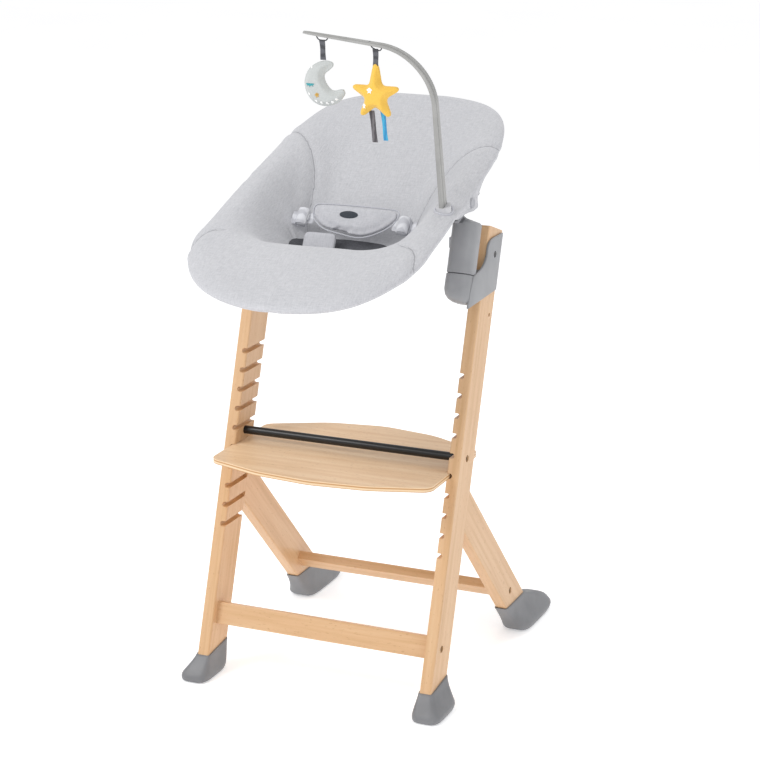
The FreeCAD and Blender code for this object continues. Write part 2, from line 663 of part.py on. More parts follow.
def bracket_hardware(clamp_bolts):
    """Clamp bolts through the leg tops and their flanged nuts on the inner face."""
    nuts = []
    for label, side in SIDES:
        start = "(%s)" % INNER if side > 0 else "-(%s)" % INNER
        turn = AGAINST_X if side > 0 else ALONG_X
        whole = cylinder("clamp_nut_body_" + label, "sink_radius - 0.3", "bracket_wall + 3",
                         (start, BRACKET_BOLT[0], BRACKET_BOLT[1]), turn)
        bore = cylinder("clamp_nut_bore_" + label, "bolt_radius + bolt_gap", "bracket_wall + 4",
                        (start, BRACKET_BOLT[0], BRACKET_BOLT[1]), turn)
        nuts.append(cut("clamp_nut_" + label, whole, bore))
    keep(group("bracket_bolts", clamp_bolts), group("bracket_nuts", nuts))


# ---------------------------------------------------------------- posts and hinge

def oval(name, centre, long, wide, turn=None):
    """Ellipse with its long axis in the side view, as one section of a post."""
    obj = DOC.addObject("Part::Ellipse", name)
    bind(obj, "MajorRadius", long)
    bind(obj, "MinorRadius", wide)
    quarter = FreeCAD.Rotation(V(0, 0, 1), 90)
    return placed(obj, centre, (turn or FreeCAD.Rotation()) * quarter)


def signed(side, text):
    """Mirror a formula for the left side."""
    return "(%s)" % text if side > 0 else "-(%s)" % text


def on_axis(run):
    """Y and Z of a point on the leaning socket axis at a distance above the socket mouth."""
    return ("socket_y + (%s) * sin(lean_front)" % run, "socket_z + (%s) * cos(lean_front)" % run)


def hub_reliefs(label, side):
    """Clearance that the post's hood leaves for the hub at its furthest forward tilt."""
    steep = "(hub_slope + recline_top)"
    tilt = FreeCAD.Rotation(V(1, 0, 0), size("hub_slope") + size("recline_top"))
    below = "(hub_high / 2 + hub_clear)"

    def relief(name, start, end, run_low, run_high):
        x = start if side > 0 else "-(%s)" % end
        base = (x, "pivot_y + (%s) * cos%s + %s * sin%s" % (run_low, steep, below, steep),
                "pivot_z + (%s) * sin%s - %s * cos%s" % (run_low, steep, below, steep))
        return block(name + "_" + label, "%s - (%s)" % (end, start), "%s - (%s)" % (run_high, run_low),
                     "hub_high * 1.5", base, tilt)

    front = "-(hub_long / 2 + hub_clear)"
    end = "(hub_out_end + hub_clear)"
    return [relief("sleeve_relief", "(sleeve_start - hub_clear)", end, front,
                   "sleeve_long + hub_clear - hub_long / 2"),
            relief("bar_relief", "(hub_out_start - bolt_gap)", end, front, "hub_long / 2")]


def post(label, side):
    """Oval post with a spigot below and a hooded neck that carries the seat's hinge."""
    lean = lean_turn("lean_front", 1)
    x = signed(side, "socket_x")
    neck = signed(side, "neck_x")
    between = signed(side, "(socket_x + neck_x) / 2")
    foot = on_axis("seat_gap")
    shoulder = on_axis("seat_gap + post_straight")
    hood = on_axis("seat_gap + post_straight + hood_high")
    sections = [oval("post_low_" + label, (x,) + foot, "post_long", "post_wide", lean),
                oval("post_mid_" + label, (x,) + shoulder, "post_long", "post_wide", lean)]
    shaft = DOC.addObject("Part::Loft", "post_shaft_" + label)
    shaft.Sections = sections
    shaft.Solid = True
    shaft.Ruled = True
    cap_sections = [oval("hood_low_" + label, (x,) + shoulder, "post_long", "post_wide", lean),
                    oval("hood_high_" + label, (between,) + hood, "hood_long + 3", "hood_wide + 1", lean)]
    cap = DOC.addObject("Part::Loft", "post_cap_" + label)
    cap.Sections = cap_sections
    cap.Solid = True
    cap.Ruled = True
    spigot_foot = on_axis("-spigot_deep")
    spigot = DOC.addObject("Part::Box", "spigot_" + label)
    bind(spigot, "Length", "spigot_wide")
    bind(spigot, "Width", "spigot_long")
    bind(spigot, "Height", "spigot_deep + 5")
    spigot.Placement = FreeCAD.Placement(V(0, 0, 0), lean)
    bind(spigot, "Placement.Base.x", "%s - spigot_wide / 2" % x)
    bind(spigot, "Placement.Base.y", "%s - spigot_long / 2 * cos(lean_front)" % spigot_foot[0])
    bind(spigot, "Placement.Base.z", "%s + spigot_long / 2 * sin(lean_front)" % spigot_foot[1])
    inner_face = "(neck_x - neck_thick / 2)" if side > 0 else "-(neck_x + neck_thick / 2)"
    disc = cylinder("neck_disc_" + label, "disc_radius", "neck_thick",
                    (inner_face, "pivot_y", "pivot_z"), ALONG_X)
    neck_low = "(pivot_z - disc_radius * 2.4)"
    neck_back = "pivot_y - neck_deep / 2"
    neck_bar = block("neck_bar_" + label, "neck_thick", "neck_deep", "pivot_z - %s" % neck_low,
                     (inner_face, neck_back, neck_low))
    whole = fuse("post_whole_" + label, [shaft, cap, spigot, disc, neck_bar])
    pin_start = "(neck_x - neck_thick)" if side > 0 else "-(neck_x + neck_thick)"
    bore = cylinder("pin_bore_" + label, "pin_radius", "neck_thick * 2",
                    (pin_start, "pivot_y", "pivot_z"), ALONG_X)
    pocket_start = "(socket_x - post_wide - 1)"
    latch_y = "(socket_y + (latch_z - socket_z) * tan(lean_front))"
    wide = "(latch_wide + 2 * latch_play)"
    high = "(latch_high + 2 * latch_play)"
    start = pocket_start if side > 0 else "-(%s + latch_deep)" % pocket_start
    latch_way = block("latch_way_" + label, "latch_deep", wide, high,
                      (start, "%s - %s / 2" % (latch_y, wide), "latch_z - %s / 2" % high))
    tools = fuse("post_tools_" + label, [bore, latch_way] + hub_reliefs(label, side))
    keep(named(cut("post_" + label, whole, tools), "post_" + label))
    button_wall = "(socket_x - post_wide - latch_out)"
    length = "(latch_deep - latch_travel + latch_out - 1.5)"
    start = button_wall if side > 0 else "-(%s + %s)" % (button_wall, length)
    keep(named(block("release_button_" + label, length, "latch_wide", "latch_high",
                     (start, "%s - latch_wide / 2" % latch_y, "latch_z - latch_high / 2")),
               "release_button_" + label))


def hinge_hardware():
    """Pivot pins with a spring bore in the outer end, and toothed rings fixed to the necks."""
    pins = []
    rings = []
    for label, side in SIDES:
        start = signed(side, "pin_end")
        turn = AGAINST_X if side > 0 else ALONG_X
        where = (start, "pivot_y", "pivot_z")
        pin = cylinder("pin_bar_" + label, "pin_radius", "pin_end - pin_start", where, turn)
        bore = cylinder("pin_pocket_" + label, "spring_bore", "spring_deep", where, turn)
        pins.append(cut("pivot_pin_" + label, pin, bore))
        face = signed(side, "neck_x - neck_thick / 2")
        disc = cylinder("ring_disc_" + label, "ring_radius", "ring_thick", (face, "pivot_y", "pivot_z"), turn)
        hole = cylinder("ring_hole_" + label, "pin_radius", "ring_thick", (face, "pivot_y", "pivot_z"), turn)
        rings.append(cut("recline_ring_" + label, disc, hole))
    keep(group("pivot_pins", pins), group("recline_rings", rings))


# ---------------------------------------------------------------- seat ring and hubs

def half_width(y):
    """Half width of the seat's outer edge at a distance along the seat."""
    mid = size("seat_mid")
    fore = y < mid
    reach = size("seat_fore") if fore else size("seat_aft")
    power = size("fore_power") if fore else size("aft_power")
    share = min(1.0, abs(y - mid) / reach)
    return size("seat_half") * (1 - share ** power) ** (1 / power)


def edge_height(y, shrink):
    """Height of the seat's outer edge; it droops in front and lifts at the head."""
    bend = -size("fore_droop") if y < size("seat_mid") else size("aft_lift")
    return size("edge_z") + size("edge_slope") * y + bend * (1 - shrink ** 2)


def edge_point(angle, inset):
    """Plan position on the seat's edge curve moved inwards."""
    fore = math.sin(angle) < 0
    power = size("fore_power") if fore else size("aft_power")
    reach = size("seat_fore") if fore else size("seat_aft")
    cosine = abs(math.cos(angle)) ** (2 / power)
    sine = math.copysign(abs(math.sin(angle)) ** (2 / power), math.sin(angle))
    x = math.copysign((size("seat_half") - inset) * cosine, math.cos(angle))
    return x, size("seat_mid") + (reach - inset) * sine


def under_cover(x, y):
    """Centre of the ring tube below the cover at one plan position."""
    step = 4.0

    def top(px, py):
        return cover_height(min(1.0, abs(px) / half_width(py)), py)

    slope_x = (top(x + step, y) - top(x - step, y)) / (2 * step)
    slope_y = (top(x, y + step) - top(x, y - step)) / (2 * step)
    slant = math.sqrt(1 + slope_x ** 2 + slope_y ** 2)
    depth = (size("cover_thick") + size("tube_radius") + size("tube_gap")) * slant
    return V(x, y, top(x, y) - depth)


def hub_point(x, run):
    """Point on the hub's long axis at a distance from the pivot."""
    slope = math.radians(size("hub_slope"))
    return V(x, size("pivot_y") + run * math.cos(slope), size("pivot_z") + run * math.sin(slope))


def tube_shape(low_angle, high_angle, sign, radius):
    """One U-shaped half of the seat ring with straight ends inside the hub sleeves."""
    count = 36
    clear = hub_point(0, sign * (size("hub_long") / 2 + 14)).y
    points = []
    for i in range(count + 1):
        x, y = edge_point(low_angle + (high_angle - low_angle) * i / count, size("tube_inset"))
        if sign * (y - clear) > 0:
            points.append(under_cover(x, y))
    x = math.copysign(size("seat_half") - size("tube_inset"), points[0].x)
    mouth = sign * size("hub_long") / 2
    inside = sign * (size("hub_long") / 2 - size("sleeve_long") + 2)
    starts = (hub_point(x, inside), hub_point(x, mouth + sign * 2))
    ends = (hub_point(-x, mouth + sign * 2), hub_point(-x, inside))
    curve = Part.BSplineCurve()
    curve.interpolate(Points=[starts[1]] + points + [ends[0]], InitialTangent=starts[1] - starts[0],
                      FinalTangent=ends[1] - ends[0])
    path = Part.Wire([Part.makeLine(*starts), curve.toShape(), Part.makeLine(*ends)])
    ring = Part.Wire([Part.Circle(starts[0], (starts[1] - starts[0]).normalize(), radius).toShape()])
    return path.makePipeShell([ring], True, False)


FRONT_TUBE = (-math.pi, 0.0, -1)
REAR_TUBE = (0.0, math.pi, 1)


def hub(label, side):
    """Outer and inner hub shells that clamp the ring tubes and turn on the pivot pin."""
    slope = FreeCAD.Rotation(V(1, 0, 0), size("hub_slope"))
    cosine = "cos(hub_slope)"
    sine = "sin(hub_slope)"

    def bar(name, start, end, high, run_low, run_high):
        x = start if side > 0 else "-(%s)" % end
        base = (x, "pivot_y + (%s) * %s + (%s) / 2 * %s" % (run_low, cosine, high, sine),
                "pivot_z + (%s) * %s - (%s) / 2 * %s" % (run_low, sine, high, cosine))
        return block(name + "_" + label, "%s - (%s)" % (end, start), "%s - (%s)" % (run_high, run_low),
                     high, base, slope)

    half = "hub_long / 2"
    outer = [bar("outer_bar", "hub_out_start", "hub_out_end", "hub_high", "-" + half, half),
             bar("sleeve_fore", "sleeve_start", "hub_out_end", "hub_high * 0.94", "-" + half,
                 "-%s + sleeve_long" % half),
             bar("sleeve_aft", "sleeve_start", "hub_out_end", "hub_high * 0.94",
                 half + " - sleeve_long", half)]
    shell = fuse("outer_shell_" + label, outer)
    tools = []
    turn = FreeCAD.Rotation(V(1, 0, 0), size("hub_slope")) * FreeCAD.Rotation(V(1, 0, 0), -90)
    tools.append(cylinder("tube_way_" + label, "tube_radius + bolt_gap", "hub_long + 2",
                          (signed(side, "seat_half - tube_inset"),
                           "pivot_y - (hub_long / 2 + 1) * " + cosine,
                           "pivot_z - (hub_long / 2 + 1) * " + sine), turn))
    start = "(hub_out_start - 1)" if side > 0 else "-(hub_out_end + 1)"
    tools.append(block("button_way_" + label, "hub_out_end - hub_out_start + 2",
                       "button_wide + 2 * button_play", "button_high + 2 * button_play",
                       (start, "pivot_y - button_wide / 2 - button_play",
                        "pivot_z - button_high / 2 - button_play")))
    keep(named(cut("hub_outer_" + label, shell, fuse("hub_tools_" + label, tools)), "hub_outer_" + label))
    inner = [bar("inner_bar", "hub_in_start", "hub_in_end", "hub_high", "-" + half, half),
             bar("boss_fore", "hub_in_end", "sleeve_start", "hub_high * 0.6", "-" + half,
                 "-%s + sleeve_long" % half),
             bar("boss_aft", "hub_in_end", "sleeve_start", "hub_high * 0.6", half + " - sleeve_long",
                 half)]
    body = fuse("inner_shell_" + label, inner)
    start = "(hub_in_start + 2)" if side > 0 else "-(hub_in_end + 1)"
    bore = cylinder("hub_bore_" + label, "pin_radius + bolt_gap", "hub_in_end - hub_in_start - 1",
                    (start, "pivot_y", "pivot_z"), ALONG_X)
    keep(named(cut("hub_inner_" + label, body, bore), "hub_inner_" + label))
    button = block("button_face_" + label, "hub_out_end + button_out - button_back", "button_wide",
                   "button_high", (signed(side, "button_back") if side > 0
                                   else "-(hub_out_end + button_out)",
                                   "pivot_y - button_wide / 2", "pivot_z - button_high / 2"))
    spring = cylinder("button_spring_" + label, "spring_bore - 0.4", "button_back - pin_end + 5",
                      (signed(side, "button_back"), "pivot_y", "pivot_z"),
                      AGAINST_X if side > 0 else ALONG_X)
    keep(named(fuse("recline_button_" + label, [button, spring]), "recline_button_" + label))


def hub_screws():
    """Four short screws that close each pair of hub shells, seen from the inner face."""
    screws = []
    for label, side in SIDES:
        for name, run in (("fore", "-(hub_long / 2 - 6)"), ("aft", "(hub_long / 2 - 6)")):
            where = (signed(side, "hub_in_start - 2"), "pivot_y + %s * cos(hub_slope)" % run,
                     "pivot_z + %s * sin(hub_slope)" % run)
            screws.append(cylinder("hub_screw_%s_%s" % (label, name), "screw_radius * 1.8", "2",
                                   where, ALONG_X if side > 0 else AGAINST_X))
    keep(group("hub_screws", screws))


# ---------------------------------------------------------------- seat cover

def centre_height(y):
    """Height of the cover's upper surface on the middle plane."""
    ends = (size("seat_mid") - size("seat_fore"), size("seat_mid") + size("seat_aft"))
    head = edge_height(ends[1], 0) + size("head_lift")
    knots = [(ends[0], edge_height(ends[0], 0)),
             (size("crest_y") - 70, size("crest_z") - 17), (size("crest_y") - 25, size("crest_z") - 2),
             (size("crest_y"), size("crest_z")), (size("crest_y") + 20, size("crest_z") - 7),
             (size("crest_y") + 50, size("crest_z") - 28), (size("well_y") - 40, size("well_z") + 6),
             (size("well_y"), size("well_z")), (size("well_y") + 40, size("well_z") + 7),
             (size("back_y") - 56, size("back_z") - 52), (size("back_y"), size("back_z")),
             (size("back_y") + 44, size("back_z") + 36), (size("back_y") + 104, size("back_z") + 81),
             (ends[1] - 60, head - 30), (ends[1] - 20, head - 4), (ends[1], head)]
    for (y0, z0), (y1, z1) in zip(knots, knots[1:]):
        if y <= y1:
            share = max(0.0, (y - y0) / (y1 - y0))
            return z0 + (z1 - z0) * share
    return knots[-1][1]


def cover_height(share, y):
    """Height of the upper surface at a share of the half width."""
    middle = centre_height(y)
    shrink = half_width(y) / size("seat_half")
    rim = edge_height(y, shrink) + size("roll_lift")
    step = min(1.0, max(0.0, (share - size("bowl_flat")) / (size("roll_start") - size("bowl_flat"))))
    rise = step * step * (3 - 2 * step)
    drop = 0.0
    if share > size("roll_start"):
        drop = size("roll_lift") * ((share - size("roll_start")) / (1 - size("roll_start"))) ** 2
    return middle + (rim - middle) * rise - drop


def seat_cover():
    """Padded sling: crescent sections across the seat, lofted from the feet to the head."""
    fore = size("seat_mid") - size("seat_fore") + size("cover_trim")
    aft = size("seat_mid") + size("seat_aft") - size("cover_trim")
    count = 26
    wires = []
    shares = [i / 12.0 - 1 for i in range(25)]
    for i in range(count + 1):
        turn = math.pi * i / count
        y = fore + (aft - fore) * (1 - math.cos(turn)) / 2
        full = half_width(y)
        wide = max(full - size("cover_inset"), 40)
        top = [V(share * wide, y, cover_height(min(1.0, abs(share) * wide / full), y)) for share in shares]
        low = []
        for k, point in enumerate(top):
            before = top[max(0, k - 1)]
            after = top[min(len(top) - 1, k + 1)]
            flat = (after.x - before.x) / math.hypot(after.x - before.x, after.z - before.z)
            low.append(V(point.x, y, point.z - size("cover_thick") / flat))
        upper = Part.BSplineCurve()
        upper.interpolate(top)
        lower = Part.BSplineCurve()
        lower.interpolate(low[::-1])
        edges = [upper.toShape(), Part.makeLine(top[-1], low[-1]), lower.toShape(),
                 Part.makeLine(low[0], top[0])]
        wires.append(Part.Wire(edges))
    sling = Part.makeLoft(wires, True, True)
    keep(solid("seat_cover", sling.cut(collar_shape(size("collar_radius") + 0.5, 40))))


# ---------------------------------------------------------------- harness

def slope_block(name, wide, tall, thick, x, y, z, tilt):
    """Flat pad centred on a point, leaning back from the feet by a tilt."""
    turn = FreeCAD.Rotation(V(1, 0, 0), size(tilt))
    obj = DOC.addObject("Part::Box", name)
    bind(obj, "Length", wide)
    bind(obj, "Width", tall)
    bind(obj, "Height", thick)
    obj.Placement = FreeCAD.Placement(V(0, 0, 0), turn)
    bind(obj, "Placement.Base.x", "%s - (%s) / 2" % (x, wide))
    bind(obj, "Placement.Base.y", "%s - (%s) / 2 * cos(%s) + (%s) / 2 * sin(%s)"
         % (y, tall, tilt, thick, tilt))
    bind(obj, "Placement.Base.z", "%s - (%s) / 2 * sin(%s) - (%s) / 2 * cos(%s)"
         % (z, tall, tilt, thick, tilt))
    return obj


def softened(label, obj, radius):
    """Round every edge of a block by a named radius."""
    DOC.recompute()
    fillet = named(DOC.addObject("Part::Fillet", label), label)
    fillet.Base = obj
    fillet.Edges = [(i + 1, radius, radius) for i in range(len(obj.Shape.Edges))]
    return fillet


def harness():
    """Waist pad on a crotch pad, with webbing and a side-release buckle at each end."""
    pad_block = slope_block("waist_block", "pad_wide", "pad_tall", "pad_thick", "0", "pad_y", "pad_z",
                            "pad_tilt")
    keep(softened("waist_pad", pad_block, size("pad_thick") * 0.4))
    crotch_y = "(pad_y - pad_tall / 2 * cos(pad_tilt) - (crotch_tall / 2 + 1.4) * cos(crotch_tilt))"
    crotch_z = "(pad_z - pad_tall / 2 * sin(pad_tilt) - (crotch_tall / 2 + 1.4) * sin(crotch_tilt))"
    crotch = slope_block("crotch_block", "crotch_wide", "crotch_tall", "crotch_thick", "-crotch_x",
                         crotch_y, crotch_z, "crotch_tilt")
    keep(softened("crotch_pad", crotch, size("crotch_thick") * 0.3))
    for label, side in SIDES:
        x = signed(side, "buckle_x")
        frame = slope_block("buckle_block_" + label, "buckle_wide", "buckle_tall", "buckle_thick", x,
                            "pad_y", "pad_z", "pad_tilt")
        mouth_x = signed(side, "buckle_x - buckle_wide / 2 + tongue_long / 2 - 0.25")
        mouth = slope_block("buckle_mouth_" + label, "tongue_long + 1", "tongue_wide + 0.6",
                            "tongue_thick + 0.6", mouth_x, "pad_y", "pad_z", "pad_tilt")
        keep(named(cut("buckle_" + label, frame, mouth), "buckle_" + label))
        keep(named(slope_block("tongue_" + label, "tongue_long - 1.5", "tongue_wide", "tongue_thick",
                               signed(side, "buckle_x - buckle_wide / 2 + tongue_long / 2 - 1"),
                               "pad_y", "pad_z", "pad_tilt"), "tongue_" + label))
        strap_x = signed(side, "buckle_x + buckle_wide / 2 + strap_long / 2 + 0.3")
        keep(named(slope_block("waist_strap_" + label, "strap_long", "strap_wide", "strap_thick",
                               strap_x, "pad_y", "pad_z", "pad_tilt"), "waist_strap_" + label))


# ---------------------------------------------------------------- toy bar and toys

def bar_point(x, z, lift=0.0):
    """Point of the toy bar's leaning plane; lift moves it towards the feet."""
    lean = math.radians(size("toy_lean"))
    run = (z - size("toy_z")) / math.cos(lean)
    return V(x, size("toy_y") - run * math.sin(lean) - lift * math.cos(lean),
             size("toy_z") + run * math.cos(lean) - lift * math.sin(lean))


def bar_path():
    """Base, bend start, bend middle, bend end and tip of the toy bar in its own plane."""
    base = V(size("toy_x"), size("toy_z"), 0)
    corner = V(size("toy_corner_x"), size("toy_corner_z"), 0)
    tip = V(size("toy_tip_x"), size("toy_tip_z"), 0)
    down = (base - corner).normalize()
    out = (tip - corner).normalize()
    half = down.getAngle(out) / 2
    reach = size("toy_bend") / math.tan(half)
    first = corner + down * reach
    last = corner + out * reach
    centre = corner + (down + out).normalize() * (size("toy_bend") / math.sin(half))
    return base, first, centre, last, tip


def bar_stations(count):
    """Points with their directions along the bar, from the plug to the tip."""
    base, first, centre, last, tip = bar_path()
    plug = base - (first - base).normalize() * size("toy_plug")
    stations = []
    for i in range(4):
        stations.append((plug + (first - plug) * i / 4.0, (first - plug).normalize()))
    start = first - centre
    end = last - centre
    swing = start.getAngle(end)
    for i in range(count + 1):
        turn = FreeCAD.Rotation(V(0, 0, 1), math.degrees(swing) * i / count)
        arm = turn.multVec(start)
        ahead = V(-arm.y, arm.x, 0).normalize()
        stations.append((centre + arm, ahead))
    for i in range(1, 4):
        stations.append((last + (tip - last) * i / 3.0, (tip - last).normalize()))
    return stations


def toy_bar():
    """Flat tapered strip that rises from the collar and arches over the seat."""
    stations = bar_stations(8)
    lean = math.radians(size("toy_lean"))
    facing = V(0, math.cos(lean), math.sin(lean))
    wires = []
    for i, (spot, ahead) in enumerate(stations):
        share = i / (len(stations) - 1.0)
        wide = size("toy_wide") + (size("toy_tip_wide") - size("toy_wide")) * share
        across = V(-ahead.y, 0, ahead.x)
        middle = bar_point(spot.x, spot.y)
        plane_across = V(across.x, -math.tan(lean) * across.z, across.z).normalize()
        corners = []
        for u, w in ((-1, -1), (1, -1), (1, 1), (-1, 1)):
            corners.append(middle + facing * (u * wide / 2) + plane_across * (w * size("toy_thick") / 2))
        wires.append(Part.makePolygon(corners + [corners[0]]))
    keep(solid("toy_bar", Part.makeLoft(wires, True, True)))


def collar_shape(radius, high):
    """Round bar along the foot of the toy bar, from below the ring tube upwards."""
    top = bar_point(size("toy_x"), size("toy_z"))
    lean = FreeCAD.Rotation(V(1, 0, 0), size("toy_lean")).multVec(V(0, 0, 1))
    below = size("collar_high")
    return Part.makeCylinder(radius, high, top - lean * below, lean)


def toy_collar():
    """Moulded collar that straddles the ring tube, with the slot that holds the bar."""
    play = size("collar_play")
    body = collar_shape(size("collar_radius"), size("collar_high"))
    way = Part.makeBox(size("toy_thick") + 2 * play, size("toy_wide") + 2 * play, size("collar_high"))
    lean = FreeCAD.Rotation(V(1, 0, 0), size("toy_lean"))
    foot = bar_point(size("toy_x"), size("toy_z") - size("toy_plug") - 2)
    corner = lean.multVec(V(-size("toy_thick") / 2 - play, -size("toy_wide") / 2 - play, 0))
    way.Placement = FreeCAD.Placement(foot + corner, lean)
    tube = tube_shape(*FRONT_TUBE, size("tube_radius") + size("seat_gap"))
    keep(solid("toy_bar_socket", body.cut(way).cut(tube)))


def hook_height(x):
    """Height of the bar's underside at one hook."""
    base, first, centre, last, tip = bar_path()
    if x < last.x:
        share = (last.x - x) / (last.x - tip.x)
        middle = last.y + (tip.y - last.y) * share
    else:
        middle = centre.y + math.sqrt(size("toy_bend") ** 2 - (x - centre.x) ** 2)
    return middle - size("toy_thick") / 2


def wire_loop(x):
    """Small wire ring let into the underside of the bar."""
    top = bar_point(x, hook_height(x) + 0.3)
    ring = Part.makeTorus(size("loop_radius"), size("loop_wire"),
                          V(top.x, top.y, top.z - size("loop_radius") - size("loop_wire") - 0.5), V(0, 1, 0))
    return ring


def toys():
    """Hooks, tapes, the moon, the star and its ribbons."""
    hooks = [wire_loop(size("moon_x")), wire_loop(size("star_x"))]
    keep(solid("toy_hooks", Part.makeCompound(hooks)))
    spots = {}
    for name in ("moon", "star"):
        x = size(name + "_x")
        top = bar_point(x, hook_height(x) + 0.3)
        low = top.z - 2 * size("loop_radius") - 0.5
        tape = Part.makeBox(size("tape_wide"), size("tape_thick"), size("strap_drop"),
                            V(x - size("tape_wide") / 2, top.y - size("tape_thick") / 2,
                              low - 2 * size("loop_wire") - size("strap_drop") - 0.3))
        keep(solid(name + "_strap", tape))
        spots[name] = V(x, top.y, low - 2 * size("loop_wire") - size("strap_drop") - 0.3)
    moon_top = spots["moon"]
    centre = moon_top + V(size("moon_shift"), 0, -size("moon_radius"))
    disc = Part.makeCylinder(size("moon_radius"), size("moon_thick"),
                             centre - V(0, size("moon_thick") / 2, 0), V(0, 1, 0))
    bite = Part.makeCylinder(size("bite_radius"), size("moon_thick") * 2,
                             centre + V(size("bite_x"), -size("moon_thick"), size("bite_z")), V(0, 1, 0))
    keep(solid("moon", disc.cut(bite)))
    star_top = spots["star"]
    middle = star_top + V(0, -size("star_thick") / 2, -size("star_radius"))
    corners = []
    for i in range(10):
        reach = size("star_radius") if i % 2 == 0 else size("star_waist")
        angle = math.pi / 2 + i * math.pi / 5
        corners.append(middle + V(reach * math.cos(angle), 0, reach * math.sin(angle)))
    face = Part.Face(Part.makePolygon(corners + [corners[0]]))
    keep(solid("star", face.extrude(V(0, size("star_thick"), 0))))
    low = middle.z - size("star_waist") - 7
    ribbons = []
    for sign in (-1, 1):
        ribbons.append(Part.makeBox(size("ribbon_wide"), size("ribbon_thick"), size("ribbon_long"),
                                    V(middle.x + sign * size("ribbon_gap") / 2 - size("ribbon_wide") / 2,
                                      star_top.y - size("ribbon_thick") / 2,
                                      low - size("ribbon_long"))))
    keep(solid("star_ribbons", Part.makeCompound(ribbons)))


# ---------------------------------------------------------------- build

def write_parts():
    """Check every object and write each sub-part to its own file."""
    DOC.recompute()
    for obj in DOC.Objects:
        if "Invalid" in obj.State or "Error" in obj.State:
            raise ValueError("%s is %s" % (obj.Label, obj.State))
    os.makedirs("parts", exist_ok=True)
    for node in NODES:
        shape = node.Shape
        if shape.isNull() or not shape.isValid() or not shape.Solids:
            raise ValueError("bad shape in " + node.Label)
        shape.exportStep("parts/%s.step" % node.Label)
        print("%-24s solids %d volume %.1f" % (node.Label, len(shape.Solids), shape.Volume))


for name, sign in SIDES:
    front_leg(name, sign)
    rear_leg(name, sign)
cross_member("front_crossbar", BAR_BOLT, "bar_deep", "bar_high", "lean_front")
cross_member("rear_crossbar", RAIL_BOLT, "rail_deep", "rail_high", "-lean_rear")
CLAMP_BOLTS = fasteners()
brace_rod()
seat_plate()
shoes()
for name, sign in SIDES:
    bracket(name, sign)
bracket_hardware(CLAMP_BOLTS)
for name, sign in SIDES:
    post(name, sign)
hinge_hardware()
for name, sign in SIDES:
    hub(name, sign)
hub_screws()
keep(solid("ring_tube_front", tube_shape(*FRONT_TUBE, size("tube_radius"))))
keep(solid("ring_tube_rear", tube_shape(*REAR_TUBE, size("tube_radius"))))
seat_cover()
harness()
toy_bar()
toy_collar()
toys()
write_parts()
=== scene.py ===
"""Wooden high-chair frame with a plug-in bouncer seat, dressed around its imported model."""

import logging
import math
from collections.abc import Callable, Iterator, Sequence
from contextlib import contextmanager
from dataclasses import dataclass, field
from enum import Enum
from typing import Any

import bmesh
import bpy
import numpy as np
from mathutils import Matrix, Vector


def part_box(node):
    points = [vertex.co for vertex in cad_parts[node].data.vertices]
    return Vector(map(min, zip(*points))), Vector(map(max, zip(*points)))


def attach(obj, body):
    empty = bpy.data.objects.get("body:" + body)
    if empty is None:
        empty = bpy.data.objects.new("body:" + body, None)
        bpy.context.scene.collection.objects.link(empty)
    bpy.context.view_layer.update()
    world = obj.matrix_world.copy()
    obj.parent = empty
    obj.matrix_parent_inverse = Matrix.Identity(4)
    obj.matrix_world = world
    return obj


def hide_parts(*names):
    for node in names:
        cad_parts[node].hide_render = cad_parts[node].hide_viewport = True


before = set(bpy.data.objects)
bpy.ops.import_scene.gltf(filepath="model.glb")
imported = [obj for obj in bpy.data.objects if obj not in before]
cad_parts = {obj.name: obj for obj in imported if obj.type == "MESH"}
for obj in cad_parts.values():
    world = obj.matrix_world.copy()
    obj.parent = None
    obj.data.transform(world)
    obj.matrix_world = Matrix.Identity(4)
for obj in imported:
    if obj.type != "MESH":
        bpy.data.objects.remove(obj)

LOG = logging.getLogger("bouncer")
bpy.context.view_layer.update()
MM = 0.001
NODES: dict[str, bpy.types.Object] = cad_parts
SIDES: tuple[tuple[str, int], ...] = (("left", -1), ("right", 1))


# ------------------------------------------------------------------ working with meshes


def choose(piece: bpy.types.Object) -> None:
    """Leave one piece selected and active."""
    bpy.ops.object.select_all(action="DESELECT")
    piece.select_set(True)
    bpy.context.view_layer.objects.active = piece


@contextmanager
def editing(piece: bpy.types.Object) -> Iterator[None]:
    """Hold a piece in edit mode with nothing selected."""
    choose(piece)
    bpy.ops.object.mode_set(mode="EDIT")
    bpy.ops.mesh.select_all(action="DESELECT")
    yield
    bpy.ops.object.mode_set(mode="OBJECT")


def pick(piece: bpy.types.Object, wanted: Callable[[Any], bool], mode: str = "VERT") -> int:
    """Select the vertices, edges or faces that pass a test, in edit mode.

    Args:
        piece: The mesh object being edited.
        wanted: Test of one element.
        mode: "VERT", "EDGE" or "FACE".

    Returns:
        How many were selected.
    """
    bpy.ops.mesh.select_all(action="DESELECT")
    bpy.ops.mesh.select_mode(type=mode)
    mesh = bmesh.from_edit_mesh(piece.data)
    found = 0
    for item in {"VERT": mesh.verts, "EDGE": mesh.edges, "FACE": mesh.faces}[mode]:
        if wanted(item):
            item.select_set(True)
            found += 1
    bmesh.update_edit_mesh(piece.data)
    return found


def points(piece: bpy.types.Object) -> np.ndarray:
    """Read a piece's vertices as rows of x, y, z."""
    flat = np.empty(len(piece.data.vertices) * 3)
    piece.data.vertices.foreach_get("co", flat)
    return flat.reshape(-1, 3)


def move_points(piece: bpy.types.Object, places: np.ndarray) -> None:
    """Put a piece's vertices at new places."""
    piece.data.vertices.foreach_set("co", np.ascontiguousarray(places, dtype=float).ravel())
    piece.data.update()


